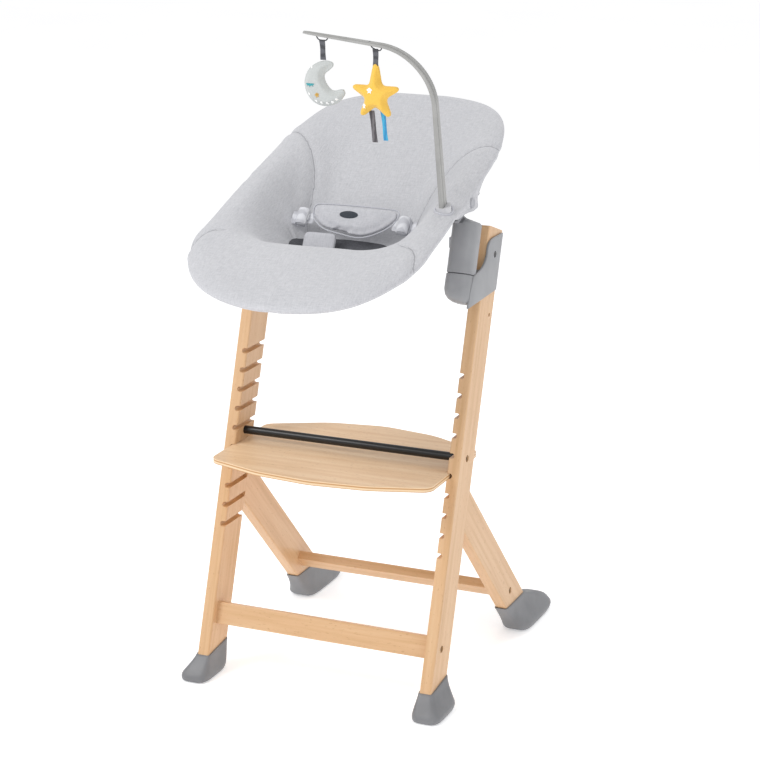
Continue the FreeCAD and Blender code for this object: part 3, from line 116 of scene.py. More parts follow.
def finish_modifier(piece: bpy.types.Object, kind: str, **settings: Any) -> None:
    """Add a modifier, set it and apply it."""
    choose(piece)
    modifier = piece.modifiers.new(kind.lower(), kind)
    for name, value in settings.items():
        setattr(modifier, name, value)
    bpy.ops.object.modifier_apply(modifier=modifier.name)


def subdivide_smooth(piece: bpy.types.Object, levels: int = 1) -> None:
    """Round a piece with a subdivision surface and apply it."""
    finish_modifier(piece, "SUBSURF", levels=levels, render_levels=levels)


def settle(piece: bpy.types.Object, name: str, smooth_angle: float = 40.0) -> bpy.types.Object:
    """Name a finished piece, apply its place and shade it."""
    choose(piece)
    bpy.ops.object.transform_apply(location=True, rotation=True, scale=True)
    piece.name = name
    piece.data.name = name
    bpy.ops.object.shade_smooth_by_angle(angle=math.radians(smooth_angle))
    return piece


def outward(piece: bpy.types.Object) -> None:
    """Merge doubles and turn every face outwards."""
    with editing(piece):
        bpy.ops.mesh.select_all(action="SELECT")
        bpy.ops.mesh.remove_doubles(threshold=1e-5)
        bpy.ops.mesh.normals_make_consistent(inside=False)


def slope_frame(centre: Vector, tilt: float) -> Matrix:
    """Axes of a flat pad: x across, y up its slope, z out of its face."""
    return Matrix.Translation(centre) @ Matrix.Rotation(math.radians(tilt), 4, "X")


def slab_from_outline(name: str, outline: Sequence[tuple[float, float]], thick: float,
                      bevel: float = 0.0, steps: int = 3) -> bpy.types.Object:
    """Model a flat slab from its outline, centred on z = 0.

    Args:
        name: Name of the piece.
        outline: Corner places in order, in metres.
        thick: Thickness of the slab.
        bevel: Width of the round on its edges.
        steps: Segments of that round.

    Returns:
        The new mesh object.
    """
    bpy.ops.object.select_all(action="DESELECT")
    bpy.ops.mesh.primitive_circle_add(vertices=len(outline), radius=1, fill_type="NGON")
    piece = bpy.context.object
    piece.name = name
    move_points(piece, np.array([(x, y, -thick / 2) for x, y in outline]))
    with editing(piece):
        bpy.ops.mesh.select_all(action="SELECT")
        bpy.ops.mesh.extrude_region_move(TRANSFORM_OT_translate={"value": (0, 0, thick)})
    outward(piece)
    if bevel:
        finish_modifier(piece, "BEVEL", width=bevel, segments=steps, limit_method="ANGLE",
                        angle_limit=math.radians(30))
    return piece


def loft(name: str, rings: Sequence[np.ndarray]) -> bpy.types.Object:
    """Raise a closed skin through rings of equal count, capped at both ends.

    Args:
        name: Name of the piece.
        rings: One row of places for each ring.

    Returns:
        The new mesh object.
    """
    count = len(rings[0])
    bpy.ops.object.select_all(action="DESELECT")
    bpy.ops.mesh.primitive_circle_add(vertices=count, radius=1, fill_type="NGON")
    piece = bpy.context.object
    piece.name = name
    with editing(piece):
        bpy.ops.mesh.select_all(action="SELECT")
        for _ in rings[1:]:
            bpy.ops.mesh.extrude_region_move(TRANSFORM_OT_translate={"value": (0, 0, 1)})
    flat = points(piece)
    level = np.round(flat[:, 2]).astype(int)
    index = np.round((np.arctan2(flat[:, 1], flat[:, 0]) % (2 * math.pi)) / (2 * math.pi) * count).astype(int)
    move_points(piece, np.array([rings[a][b % count] for a, b in zip(level, index)]))
    outward(piece)
    return piece


def sweep(name: str, path: Sequence[Sequence[float]], radius: float, resolution: int,
          closed: bool = False) -> bpy.types.Object:
    """Sweep a round bar along a smooth path, capped at its ends unless it is closed.

    Args:
        name: Name of the piece.
        path: Places along the path.
        radius: Radius of the bar.
        resolution: Fineness of its round section.
        closed: Whether the path joins up.

    Returns:
        The new mesh object.
    """
    curve = bpy.data.curves.new(name, "CURVE")
    curve.dimensions = "3D"
    curve.bevel_depth = radius
    curve.bevel_resolution = resolution
    curve.use_fill_caps = not closed
    line = curve.splines.new("NURBS")
    line.points.add(len(path) - 1)
    for spot, place in zip(line.points, path):
        spot.co = (*place, 1)
    line.order_u = 3
    line.use_endpoint_u = not closed
    line.use_cyclic_u = closed
    piece = bpy.data.objects.new(name, curve)
    bpy.context.scene.collection.objects.link(piece)
    choose(piece)
    bpy.ops.object.convert(target="MESH")
    return bpy.context.object


def oval_ring(count: int, half_a: float, half_b: float, power: float) -> np.ndarray:
    """Ring of a rounded rectangle: power 2 is an ellipse and a high power is nearly square."""
    turn = np.linspace(0, 2 * math.pi, count, endpoint=False)
    c, s = np.cos(turn), np.sin(turn)
    size = (np.abs(c) ** power + np.abs(s) ** power) ** (-1 / power)
    return np.stack([half_a * c * size, half_b * s * size], 1)


def swell(piece: bpy.types.Object, voxel: float, cap: float, pressure: float = 4.0) -> None:
    """Fill a sewn pad by letting its cloth swell under pressure.

    Args:
        piece: Closed mesh, a little smaller than the finished pad.
        voxel: Size of the remesh.
        cap: Furthest that a point may move.
        pressure: Air pressure of the cloth simulation.
    """
    finish_modifier(piece, "REMESH", mode="VOXEL", voxel_size=voxel)
    finish_modifier(piece, "SMOOTH", factor=0.5, iterations=3)
    before = points(piece)
    cloth = piece.modifiers.new("cloth", "CLOTH")
    cloth.settings.quality = 5
    cloth.settings.use_pressure = True
    cloth.settings.uniform_pressure_force = pressure
    cloth.settings.effector_weights.gravity = 0
    cloth.point_cache.frame_start = 1
    cloth.point_cache.frame_end = 20
    scene = bpy.context.scene
    for number in range(1, 21):
        scene.frame_set(number)
    solved = piece.evaluated_get(bpy.context.evaluated_depsgraph_get()).to_mesh()
    flat = np.empty(len(solved.vertices) * 3)
    solved.vertices.foreach_get("co", flat)
    moved = flat.reshape(-1, 3) - before
    piece.modifiers.remove(cloth)
    scene.frame_set(1)
    reach = np.linalg.norm(moved, axis=1, keepdims=True)
    moved *= np.minimum(1.0, cap / np.maximum(reach, 1e-9))
    move_points(piece, before + moved)


def smooth_step(value: np.ndarray | float, low: float, high: float) -> np.ndarray:
    """Rise from 0 at low to 1 at high with level ends."""
    share = np.clip((np.asarray(value, dtype=float) - low) / (high - low), 0, 1)
    return share * share * (3 - 2 * share)


# ------------------------------------------------------------------ working with materials


def linear(code: str) -> tuple[float, float, float, float]:
    """Turn an sRGB hex colour to linear."""
    parts = [int(code[i:i + 2], 16) / 255 for i in (0, 2, 4)]
    return (*[c / 12.92 if c <= 0.04045 else ((c + 0.055) / 1.055) ** 2.4 for c in parts], 1.0)


def add_node(tree: bpy.types.NodeTree, kind: str, settings: dict[str, Any] | None = None,
             stops: Sequence[tuple[float, str]] = (), **inputs: Any) -> bpy.types.Node:
    """Add one node to a material.

    Args:
        tree: The material's node tree.
        kind: Node type without its "ShaderNode" prefix.
        settings: Properties of the node.
        stops: Places and hex colours along a colour ramp.
        **inputs: Values or sockets for its inputs; i0, i1 are inputs by number.

    Returns:
        The new node.
    """
    node = tree.nodes.new("ShaderNode" + kind)
    for name, value in (settings or {}).items():
        setattr(node, name, value)
    for name, value in inputs.items():
        key: Any = int(name[1:]) if name[0] == "i" and name[1:].isdigit() else name.replace("_", " ")
        socket = node.inputs[key]
        if isinstance(value, bpy.types.NodeSocket):
            tree.links.new(value, socket)
        else:
            socket.default_value = value
    for k, (place, code) in enumerate(stops):
        row = node.color_ramp.elements
        item = row[k] if k < len(row) else row.new(place)
        item.position, item.color = place, linear(code)
    return node


def start_material(name: str, **shader: Any) -> tuple[bpy.types.Material, bpy.types.NodeTree, bpy.types.Node]:
    """Open a material with a Principled shader.

    Args:
        name: Name of the material.
        **shader: Uniform shader values, with underscores for spaces.

    Returns:
        The material, its tree and its shader node.
    """
    material = bpy.data.materials.new(name)
    material.use_nodes = True
    tree = material.node_tree
    shade = tree.nodes["Principled BSDF"]
    for key, value in shader.items():
        shade.inputs[key.replace("_", " ")].default_value = value
    return material, tree, shade


def per_mm(size: float) -> float:
    """Texture scale that gives one feature every so many millimetres."""
    return 1000.0 / size


@dataclass(frozen=True)
class Beech:
    """Steamed beech, planed and clear-lacquered: pale tan, straight faint grain and short dark flecks."""

    name: str
    turn: tuple[float, float, float] = (0.0, 0.0, 0.0)  # degrees that bring the grain onto local Z
    base: str = "D6AE84"
    light: str = "DAB58C"
    dark: str = "CBA274"
    fleck: str = "A87A4C"
    band_mm: float = 9.0
    pore_mm: float = 1.6  # drawn coarser than real pores so that it shows
    fleck_mm: float = 2.2
    layered: bool = False

    def build(self) -> bpy.types.Material:
        """Make the lacquered wood material."""
        material, tree, shade = start_material(self.name, Roughness=0.42, Coat_Weight=0.12,
                                               Coat_Roughness=0.3)
        spot = add_node(tree, "TexCoord").outputs["Object"]
        turn = tuple(math.radians(a) for a in self.turn)
        grain = add_node(tree, "Mapping", Vector=spot, Rotation=turn).outputs["Vector"]

        def stretched(across: float, along: float, seed: float, detail: float) -> bpy.types.NodeSocket:
            """Noise that is long along the grain."""
            scale = (per_mm(across), per_mm(across), per_mm(along))
            place = add_node(tree, "Mapping", Vector=grain, Scale=scale, Location=(seed, seed, seed))
            return add_node(tree, "TexNoise", Vector=place.outputs["Vector"], Scale=1.0, Detail=detail,
                            Roughness=0.55).outputs["Fac"]

        bands = stretched(self.band_mm, 220, 3.1, 3.0)
        stops = ((0.30, self.light), (0.5, self.base), (0.72, self.dark))
        colour = add_node(tree, "ValToRGB", Fac=bands, stops=stops).outputs["Color"]
        pores = stretched(self.pore_mm, 28, 7.7, 2.0)
        lines = add_node(tree, "MapRange", Value=pores, From_Min=0.56, From_Max=0.74, To_Max=0.32)
        colour = add_node(tree, "Mix", {"data_type": "RGBA"}, i0=lines.outputs[0], i6=colour,
                          i7=linear(self.dark)).outputs[2]
        specks = stretched(self.fleck_mm, 9, 1.3, 1.0)
        marks = add_node(tree, "MapRange", Value=specks, From_Min=0.66, From_Max=0.74, To_Max=0.45)
        colour = add_node(tree, "Mix", {"data_type": "RGBA"}, i0=marks.outputs[0], i6=colour,
                          i7=linear(self.fleck)).outputs[2]
        if self.layered:
            colour = self.edge_layers(tree, spot, colour)
        tree.links.new(colour, shade.inputs["Base Color"])
        bump = add_node(tree, "Bump", Height=pores, Strength=0.12, Distance=0.4 * MM)
        tree.links.new(bump.outputs["Normal"], shade.inputs["Normal"])
        return material

    def edge_layers(self, tree: bpy.types.NodeTree, spot: bpy.types.NodeSocket,
                    face: bpy.types.NodeSocket) -> bpy.types.NodeSocket:
        """Show the glued plies where the surface faces sideways.

        Args:
            tree: The material's tree.
            spot: Object coordinates.
            face: Colour of the veneer.

        Returns:
            Colour of veneer and edge together.
        """
        height = add_node(tree, "SeparateXYZ", Vector=spot).outputs["Z"]
        low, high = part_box("seat_plate")
        share = add_node(tree, "MapRange", Value=height, From_Min=low.z, From_Max=high.z)
        plies = add_node(tree, "Math", {"operation": "PINGPONG"},
                         i0=add_node(tree, "Math", {"operation": "MULTIPLY"}, i0=share.outputs[0],
                                     i1=3.0).outputs[0], i1=1.0)
        edge = add_node(tree, "ValToRGB", Fac=plies.outputs[0],
                        stops=((0.25, "BE8C5A"), (0.6, "E9CDA6"))).outputs["Color"]
        facing = add_node(tree, "SeparateXYZ", Vector=add_node(tree, "NewGeometry").outputs["Normal"])
        flat = add_node(tree, "Math", {"operation": "ABSOLUTE"}, i0=facing.outputs["Z"])
        side = add_node(tree, "MapRange", Value=flat.outputs[0], From_Min=0.75, From_Max=0.45)
        return add_node(tree, "Mix", {"data_type": "RGBA"}, i0=side.outputs[0], i6=face, i7=edge).outputs[2]


@dataclass(frozen=True)
class Moulded:
    """Injection-moulded plastic with a fine spark-eroded texture: even colour, soft sheen, tiny pits."""

    name: str
    base: str
    shade: str
    roughness: float = 0.5
    grit_mm: float = 1.1  # coarser than the real texture so that it shows
    depth_mm: float = 0.12
    metallic: float = 0.0

    def build(self) -> bpy.types.Material:
        """Make the moulded plastic material."""
        material, tree, shade = start_material(self.name, Metallic=self.metallic)
        spot = add_node(tree, "TexCoord").outputs["Object"]
        broad = add_node(tree, "TexNoise", Vector=spot, Scale=per_mm(45), Detail=3.0).outputs["Fac"]
        tone = add_node(tree, "ValToRGB", Fac=broad, stops=((0.35, self.shade), (0.65, self.base)))
        tree.links.new(tone.outputs["Color"], shade.inputs["Base Color"])
        grit = add_node(tree, "TexNoise", Vector=spot, Scale=per_mm(self.grit_mm), Detail=2.0).outputs["Fac"]
        rough = add_node(tree, "MapRange", Value=grit, To_Min=self.roughness - 0.06,
                         To_Max=self.roughness + 0.08)
        tree.links.new(rough.outputs[0], shade.inputs["Roughness"])
        bump = add_node(tree, "Bump", Height=grit, Strength=0.25, Distance=self.depth_mm * MM)
        tree.links.new(bump.outputs["Normal"], shade.inputs["Normal"])
        return material


@dataclass(frozen=True)
class Metal:
    """Drawn or plated metal: fine brushing round the part and a soft, slightly uneven shine."""

    name: str
    base: str
    roughness: float = 0.32
    stretch: tuple[float, float, float] = (1.0, 1.0, 1.0)

    def build(self) -> bpy.types.Material:
        """Make the bare metal material."""
        material, tree, shade = start_material(self.name, Metallic=1.0)
        spot = add_node(tree, "TexCoord").outputs["Object"]
        place = add_node(tree, "Mapping", Vector=spot, Scale=tuple(per_mm(1.2) * s for s in self.stretch))
        brush = add_node(tree, "TexNoise", Vector=place.outputs["Vector"], Scale=1.0,
                         Detail=2.0).outputs["Fac"]
        tone = add_node(tree, "ValToRGB", Fac=brush, stops=((0.3, "9A9C9E"), (0.7, self.base)))
        tree.links.new(tone.outputs["Color"], shade.inputs["Base Color"])
        rough = add_node(tree, "MapRange", Value=brush, To_Min=self.roughness - 0.08,
                         To_Max=self.roughness + 0.1)
        tree.links.new(rough.outputs[0], shade.inputs["Roughness"])
        return material


@dataclass(frozen=True)
class Cloth:
    """Woven melange fabric: two shades of yarn, slubs both ways, a dull face with a little fuzz."""

    name: str
    light: str
    dark: str
    thread_mm: float = 1.5  # drawn coarser than the real yarn so that it shows
    slub_mm: float = 11.0
    contrast: float = 1.0
    seams: bool = False
    sheen: float = 0.25

    def build(self) -> bpy.types.Material:
        """Make the woven fabric material."""
        material, tree, shade = start_material(self.name, Roughness=0.92, Sheen_Weight=self.sheen,
                                               Sheen_Roughness=0.5, Specular_IOR_Level=0.2)
        spot = add_node(tree, "TexCoord").outputs["Object"]

        def yarn(scale: tuple[float, float, float], seed: float) -> bpy.types.NodeSocket:
            """Noise stretched along one set of threads."""
            place = add_node(tree, "Mapping", Vector=spot, Scale=scale, Location=(seed, 0, seed))
            return add_node(tree, "TexNoise", Vector=place.outputs["Vector"], Scale=1.0, Detail=2.0,
                            Roughness=0.6).outputs["Fac"]

        fine, long = per_mm(self.thread_mm), per_mm(self.slub_mm)
        weft = yarn((long, fine, fine), 2.0)
        warp = yarn((fine, long, long), 9.0)
        both = add_node(tree, "Math", {"operation": "ADD"}, i0=weft, i1=warp).outputs[0]
        spread = 0.28 / self.contrast
        level = add_node(tree, "MapRange", Value=both, From_Min=1.0 - spread,
                         From_Max=1.0 + spread).outputs[0]
        colour = add_node(tree, "ValToRGB", Fac=level,
                          stops=((0.0, self.dark), (1.0, self.light))).outputs["Color"]
        cloud = add_node(tree, "TexNoise", Vector=spot, Scale=per_mm(120), Detail=2.0).outputs["Fac"]
        worn = add_node(tree, "MapRange", Value=cloud, From_Min=0.4, From_Max=0.7, To_Max=0.18)
        colour = add_node(tree, "Mix", {"data_type": "RGBA"}, i0=worn.outputs[0], i6=colour,
                          i7=linear(self.dark)).outputs[2]
        height = level
        if self.seams:
            colour, height = self.sew(tree, colour, level)
        tree.links.new(colour, shade.inputs["Base Color"])
        bump = add_node(tree, "Bump", Height=height, Strength=0.35, Distance=0.5 * MM)
        tree.links.new(bump.outputs["Normal"], shade.inputs["Normal"])
        return material

    def sew(self, tree: bpy.types.NodeTree, colour: bpy.types.NodeSocket,
            level: bpy.types.NodeSocket) -> tuple[bpy.types.NodeSocket, bpy.types.NodeSocket]:
        """Sink a seam, darken its groove with painted shade and lay a row of stitches beside it, from the
        mesh's seam attributes.

        Args:
            tree: The material's tree.
            colour: Colour of the weave.
            level: Height of the weave.

        Returns:
            Colour and height with the seams in them.
        """
        away = add_node(tree, "Attribute", {"attribute_name": "seam_off"}).outputs["Fac"]
        run = add_node(tree, "Attribute", {"attribute_name": "seam_run"}).outputs["Fac"]
        gap = add_node(tree, "Math", {"operation": "ABSOLUTE"}, i0=away).outputs[0]
        groove = add_node(tree, "MapRange", {"interpolation_type": "SMOOTHSTEP"}, Value=gap,
                          From_Min=0.5 * MM, From_Max=2.0 * MM, To_Min=1.0, To_Max=0.0).outputs[0]
        beside = add_node(tree, "Math", {"operation": "SUBTRACT"}, i0=gap, i1=4.0 * MM).outputs[0]
        near = add_node(tree, "MapRange", Value=add_node(tree, "Math", {"operation": "ABSOLUTE"},
                                                         i0=beside).outputs[0],
                        From_Min=0.3 * MM, From_Max=0.9 * MM, To_Min=1.0, To_Max=0.0).outputs[0]
        beat = add_node(tree, "Math", {"operation": "PINGPONG"}, i0=run, i1=2.0 * MM).outputs[0]
        dash = add_node(tree, "MapRange", Value=beat, From_Min=0.5 * MM, From_Max=0.9 * MM).outputs[0]
        stitch = add_node(tree, "Math", {"operation": "MULTIPLY"}, i0=near, i1=dash).outputs[0]
        # painted shade: the seam groove's colour is darkened towards 7E7F84 as if shade falls in it; the sunk
        # height below is the real groove
        soft = add_node(tree, "Math", {"operation": "MULTIPLY"}, i0=groove, i1=0.55).outputs[0]
        colour = add_node(tree, "Mix", {"data_type": "RGBA"}, i0=soft, i6=colour,
                          i7=linear("7E7F84")).outputs[2]
        pale = add_node(tree, "Math", {"operation": "MULTIPLY"}, i0=stitch, i1=0.35).outputs[0]
        colour = add_node(tree, "Mix", {"data_type": "RGBA"}, i0=pale, i6=colour,
                          i7=linear("A9AAAE")).outputs[2]
        sunk = add_node(tree, "Math", {"operation": "MULTIPLY"}, i0=groove, i1=-4.0).outputs[0]
        height = add_node(tree, "Math", {"operation": "ADD"}, i0=level, i1=sunk).outputs[0]
        return colour, height


@dataclass(frozen=True)
class Webbing:
    """Woven polyester tape: close ribs across the strap and a faint nylon shine."""

    name: str
    light: str
    dark: str
    rib_mm: float = 2.0
    axis: str = "X"

    def build(self) -> bpy.types.Material:
        """Make the ribbed tape material."""
        material, tree, shade = start_material(self.name, Roughness=0.7, Sheen_Weight=0.15)
        spot = add_node(tree, "TexCoord").outputs["Object"]
        ribs = add_node(tree, "TexWave", {"bands_direction": self.axis}, Vector=spot,
                        Scale=per_mm(self.rib_mm) / 20, Distortion=1.5, Detail=1.0,
                        Detail_Scale=4.0).outputs["Fac"]
        tone = add_node(tree, "ValToRGB", Fac=ribs, stops=((0.2, self.dark), (0.8, self.light)))
        tree.links.new(tone.outputs["Color"], shade.inputs["Base Color"])
        bump = add_node(tree, "Bump", Height=ribs, Strength=0.5, Distance=0.3 * MM)
        tree.links.new(bump.outputs["Normal"], shade.inputs["Normal"])
        return material


def dress(piece: bpy.types.Object, material: bpy.types.Material) -> None:
    """Give a whole piece one material."""
    piece.data.materials.clear()
    piece.data.materials.append(material)


class Finish(Enum):
    """Finishes shared by several pieces."""

    SHOE = Moulded("shoe_polypropylene", "808184", "76777A", roughness=0.46)
    PAD = Moulded("pad_rubber", "3A3A3C", "2C2C2E", roughness=0.8)
    BRACKET = Moulded("bracket_nylon", "97989B", "8E8F92", roughness=0.42)
    HUB = Moulded("hub_nylon", "96979B", "8A8B90", roughness=0.5)
    BAR = Moulded("bar_polypropylene", "A6A6A4", "9B9B99", roughness=0.36, depth_mm=0.05)
    COLLAR = Moulded("collar_polypropylene", "CFCFD2", "C2C2C6", roughness=0.5)
    BUCKLE = Moulded("buckle_acetal", "CBCCD0", "BDBEC2", roughness=0.4, depth_mm=0.05)
    BUTTON = Moulded("button_acetal", "AFB0B5", "A3A4AA", roughness=0.5)
    ROD = Moulded("rod_black_powder_coat", "1A1A1C", "121214", roughness=0.35, depth_mm=0.08)
    ZINC = Metal("bolt_blackened_steel", "26272A")
    RING = Metal("ring_anodised_aluminium", "C2C4C6")
    WIRE = Moulded("hook_coated_wire", "55565A", "47484C", roughness=0.35)
    COVER = Cloth("cover_melange_polyester", "D0D0D4", "B7B8BC", seams=True, contrast=0.8)
    SKIN = Cloth("pad_melange_polyester", "CDCDD2", "B5B6BB", contrast=0.8)
    PIPING = Cloth("piping_polyester", "CACBD1", "B4B5BC", thread_mm=1.1, slub_mm=4)
    LINING = Cloth("lining_polyester_mesh", "5E5F65", "45464B", thread_mm=1.2, slub_mm=5)
    TAPE = Webbing("toy_tape_polyester", "595A60", "3D3E43", axis="Z")
    STRAP = Webbing("waist_webbing_polypropylene", "DCDDE2", "BFC0C6", axis="Y")
    MOON = Cloth("moon_cotton_jersey", "C9CCCB", "B4B8B7", thread_mm=1.2, slub_mm=3, contrast=0.6)
    STAR = Cloth("star_cotton_jersey", "F3C85F", "E8B84C", thread_mm=1.2, slub_mm=3, contrast=0.6)
    DARK_RIBBON = Webbing("dark_ribbon_satin", "6B686C", "474448", rib_mm=1.4, axis="X")
    BLUE_RIBBON = Webbing("blue_ribbon_satin", "3FA5CC", "2E86B8", rib_mm=1.4, axis="X")
    PRINT_WHITE = Cloth("white_print_ink", "FFFFFF", "F1F1EF", thread_mm=1.0, slub_mm=2)
    PRINT_TEAL = Cloth("teal_print_ink", "4FA9B0", "3E959D", thread_mm=1.0, slub_mm=2)
    PRINT_GOLD = Cloth("gold_print_ink", "D3AC62", "C19748", thread_mm=1.0, slub_mm=2)
    BADGE = Cloth("woven_badge_polyester", "454A52", "363A41", thread_mm=1.0, slub_mm=2)

    def material(self) -> bpy.types.Material:
        """Return the finish's material, made once."""
        found = bpy.data.materials.get(self.value.name)
        return found or self.value.build()


def complete(piece: bpy.types.Object, name: str, finish: Finish, body: str,
             stands_for: Sequence[str] = (), smooth_angle: float = 40.0) -> bpy.types.Object:
    """Settle and dress a finished piece, and say what it rides on and stands for.

    Args:
        piece: The modelled piece.
        name: Its name.
        finish: Its finish.
        body: Body that it rides on.
        stands_for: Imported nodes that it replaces.
        smooth_angle: Angle in degrees below which its edges are shaded smooth.

    Returns:
        The same piece.
    """
    settle(piece, name, smooth_angle)
    dress(piece, finish.material())
    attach(piece, body)
    if stands_for:
        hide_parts(*stands_for)
    LOG.info("finished %s", name)
    return piece


# ------------------------------------------------------------------ the rigid frame


@dataclass
class WoodenFrame:
    """Legs, cross members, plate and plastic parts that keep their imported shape."""

    front_lean: float = 18.46
    rear_lean: float = 44.74

    def dress(self) -> None:
        """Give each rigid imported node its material."""
        front = Beech("beech_front_leg", (self.front_lean, 0, 0)).build()
        rear = Beech("beech_rear_leg", (-self.rear_lean, 0, 0)).build()
        across = Beech("beech_cross_member", (0, 90, 0)).build()
        plate = Beech("beech_plywood_plate", (0, 90, 0), base="E6C39C", light="ECCDA9", dark="DDB68B",
                      band_mm=14, layered=True).build()
        plan: dict[str, bpy.types.Material] = {
            "front_leg": front, "rear_leg": rear, "front_crossbar": across, "rear_crossbar": across,
            "seat_plate": plate, "brace_rod": Finish.ROD.material(), "brace_bolts": Finish.ZINC.material(),
            "crossbar_bolts": Finish.ZINC.material(), "bracket_bolts": Finish.ZINC.material(),
            "bracket_nuts": Finish.ZINC.material(), "shoe": Finish.SHOE.material(),
            "foot_pads": Finish.PAD.material(), "bracket": Finish.BRACKET.material(),
            "post": Finish.BRACKET.material(), "release_button": Finish.BUTTON.material(),
            "pivot_pins": Finish.RING.material(), "recline_rings": Finish.HUB.material(),
            "hub": Finish.HUB.material(), "toy_bar_socket": Finish.COLLAR.material(),
            "toy_bar": Finish.BAR.material(), "tongue": Finish.BUCKLE.material(),
        }
        for name, node in NODES.items():
            keys = [key for key in plan if name.startswith(key)]
            if keys:
                for place in node.material_slots:
                    place.material = plan[max(keys, key=len)]
                LOG.info("dressed %s", name)


# ------------------------------------------------------------------ moulded parts


@dataclass
class Shoes:
    """Moulded shoes: a collar round each leg that flares down to a rounded foot."""

    count: int = 80
    floor: float = 0.0015
    full_at: float = 0.012
    inner_x: float = 0.2022
    outer_x: float = 0.2302
    inner_flare: float = 0.006
    outer_flare: float = 0.0225
    front_base: float = -0.235
    front_rise: float = 0.3339
    front_deep: float = 0.0706
    front_high: float = 0.049
    rear_base: float = 0.220
    rear_rise: float = -0.9910
    rear_high: float = 0.065
    heel: tuple[tuple[float, float], ...] = (
        (0.0015, 0.352), (0.007, 0.3605), (0.014, 0.3635), (0.022, 0.3590), (0.031, 0.3480), (0.039, 0.3320),
        (0.047, 0.3090), (0.055, 0.2830), (0.061, 0.2640), (0.066, 0.2560))

    def flare(self, z: float, high: float) -> tuple[float, float]:
        """How far a level has flared, from 0 at the collar to 1 at the foot, and how far it rolls under."""
        low = min(1.0, (high - z) / (high - self.full_at))
        under = max(0.0, (self.full_at - z) / (self.full_at - self.floor))
        return low, 0.0042 * (1 - math.sqrt(max(0.0, 1 - under ** 2)))

    def front_rings(self) -> list[np.ndarray]:
        """Rings of a front shoe on the right, from the floor up."""
        rings = []
        high = self.front_high
        for z in (self.floor, 0.0030, 0.006, 0.010, 0.014, 0.018, 0.023, 0.028, 0.033, 0.038, 0.044, high):
            low, tuck = self.flare(z, high)
            line = self.front_base + z * self.front_rise
            near = self.inner_x - self.inner_flare * low ** 1.4 + tuck
            far = self.outer_x + self.outer_flare * low ** 1.4 - tuck
            fore = line - 0.0030 - 0.0150 * low ** 1.3 + tuck
            aft = line + self.front_deep + 0.003 + 0.005 * low ** 1.5 - tuck
            rings.append(self.ring(near, far, fore, aft, z, 4.2 + 5 * (1 - low), 0.0045 * (1 - low) ** 2))
        return rings

    def rear_rings(self) -> list[np.ndarray]:
        """Rings of a rear shoe on the right, from the floor up."""
        rings = []
        zs, ys = zip(*self.heel)
        for z in (self.floor, 0.0030, 0.006, 0.010, 0.014, 0.018, 0.024, 0.030, 0.036, 0.042, 0.048, 0.054,
                  0.060, self.rear_high):
            low, tuck = self.flare(z, self.rear_high)
            fore = self.rear_base + z * self.rear_rise - 0.0035 - 0.006 * low ** 2 + tuck
            aft = float(np.interp(z, zs, ys)) - tuck
            near = self.inner_x - self.inner_flare * low ** 1.4 + tuck
            far = self.outer_x + self.outer_flare * low ** 1.4 - tuck
            rings.append(self.ring(near, far, fore, aft, z, 4.6 + 4 * (1 - low) ** 2, 0.0))
        return rings

    def ring(self, near: float, far: float, fore: float, aft: float, z: float, power: float,
             tip: float) -> np.ndarray:
        """One level of a shoe.

        Args:
            near: Inner x.
            far: Outer x.
            fore: Front y.
            aft: Rear y.
            z: Height.
            power: Squareness of the corners.
            tip: How much higher the ring is at its rear.

        Returns:
            Places round the ring.
        """
        flat = oval_ring(self.count, (far - near) / 2, (aft - fore) / 2, power)
        rise = tip * flat[:, 1] / ((aft - fore) / 2)
        return np.column_stack([flat[:, 0] + (near + far) / 2, flat[:, 1] + (fore + aft) / 2,
                                np.full(len(flat), z) + rise])

    def build(self) -> None:
        """Mould all four shoes."""
        for place, rings in (("front", self.front_rings()), ("rear", self.rear_rings())):
            for label, side in SIDES:
                name = "shoe_%s_%s" % (place, label)
                piece = loft(name + "_shell", [ring * np.array([side, 1, 1]) for ring in rings])
                finish_modifier(piece, "BEVEL", width=0.0012, segments=2, limit_method="ANGLE",
                                angle_limit=math.radians(50))
                complete(piece, name + "_shell", Finish.SHOE, "chair", (name,), 50)
                LOG.info("moulded %s", name)


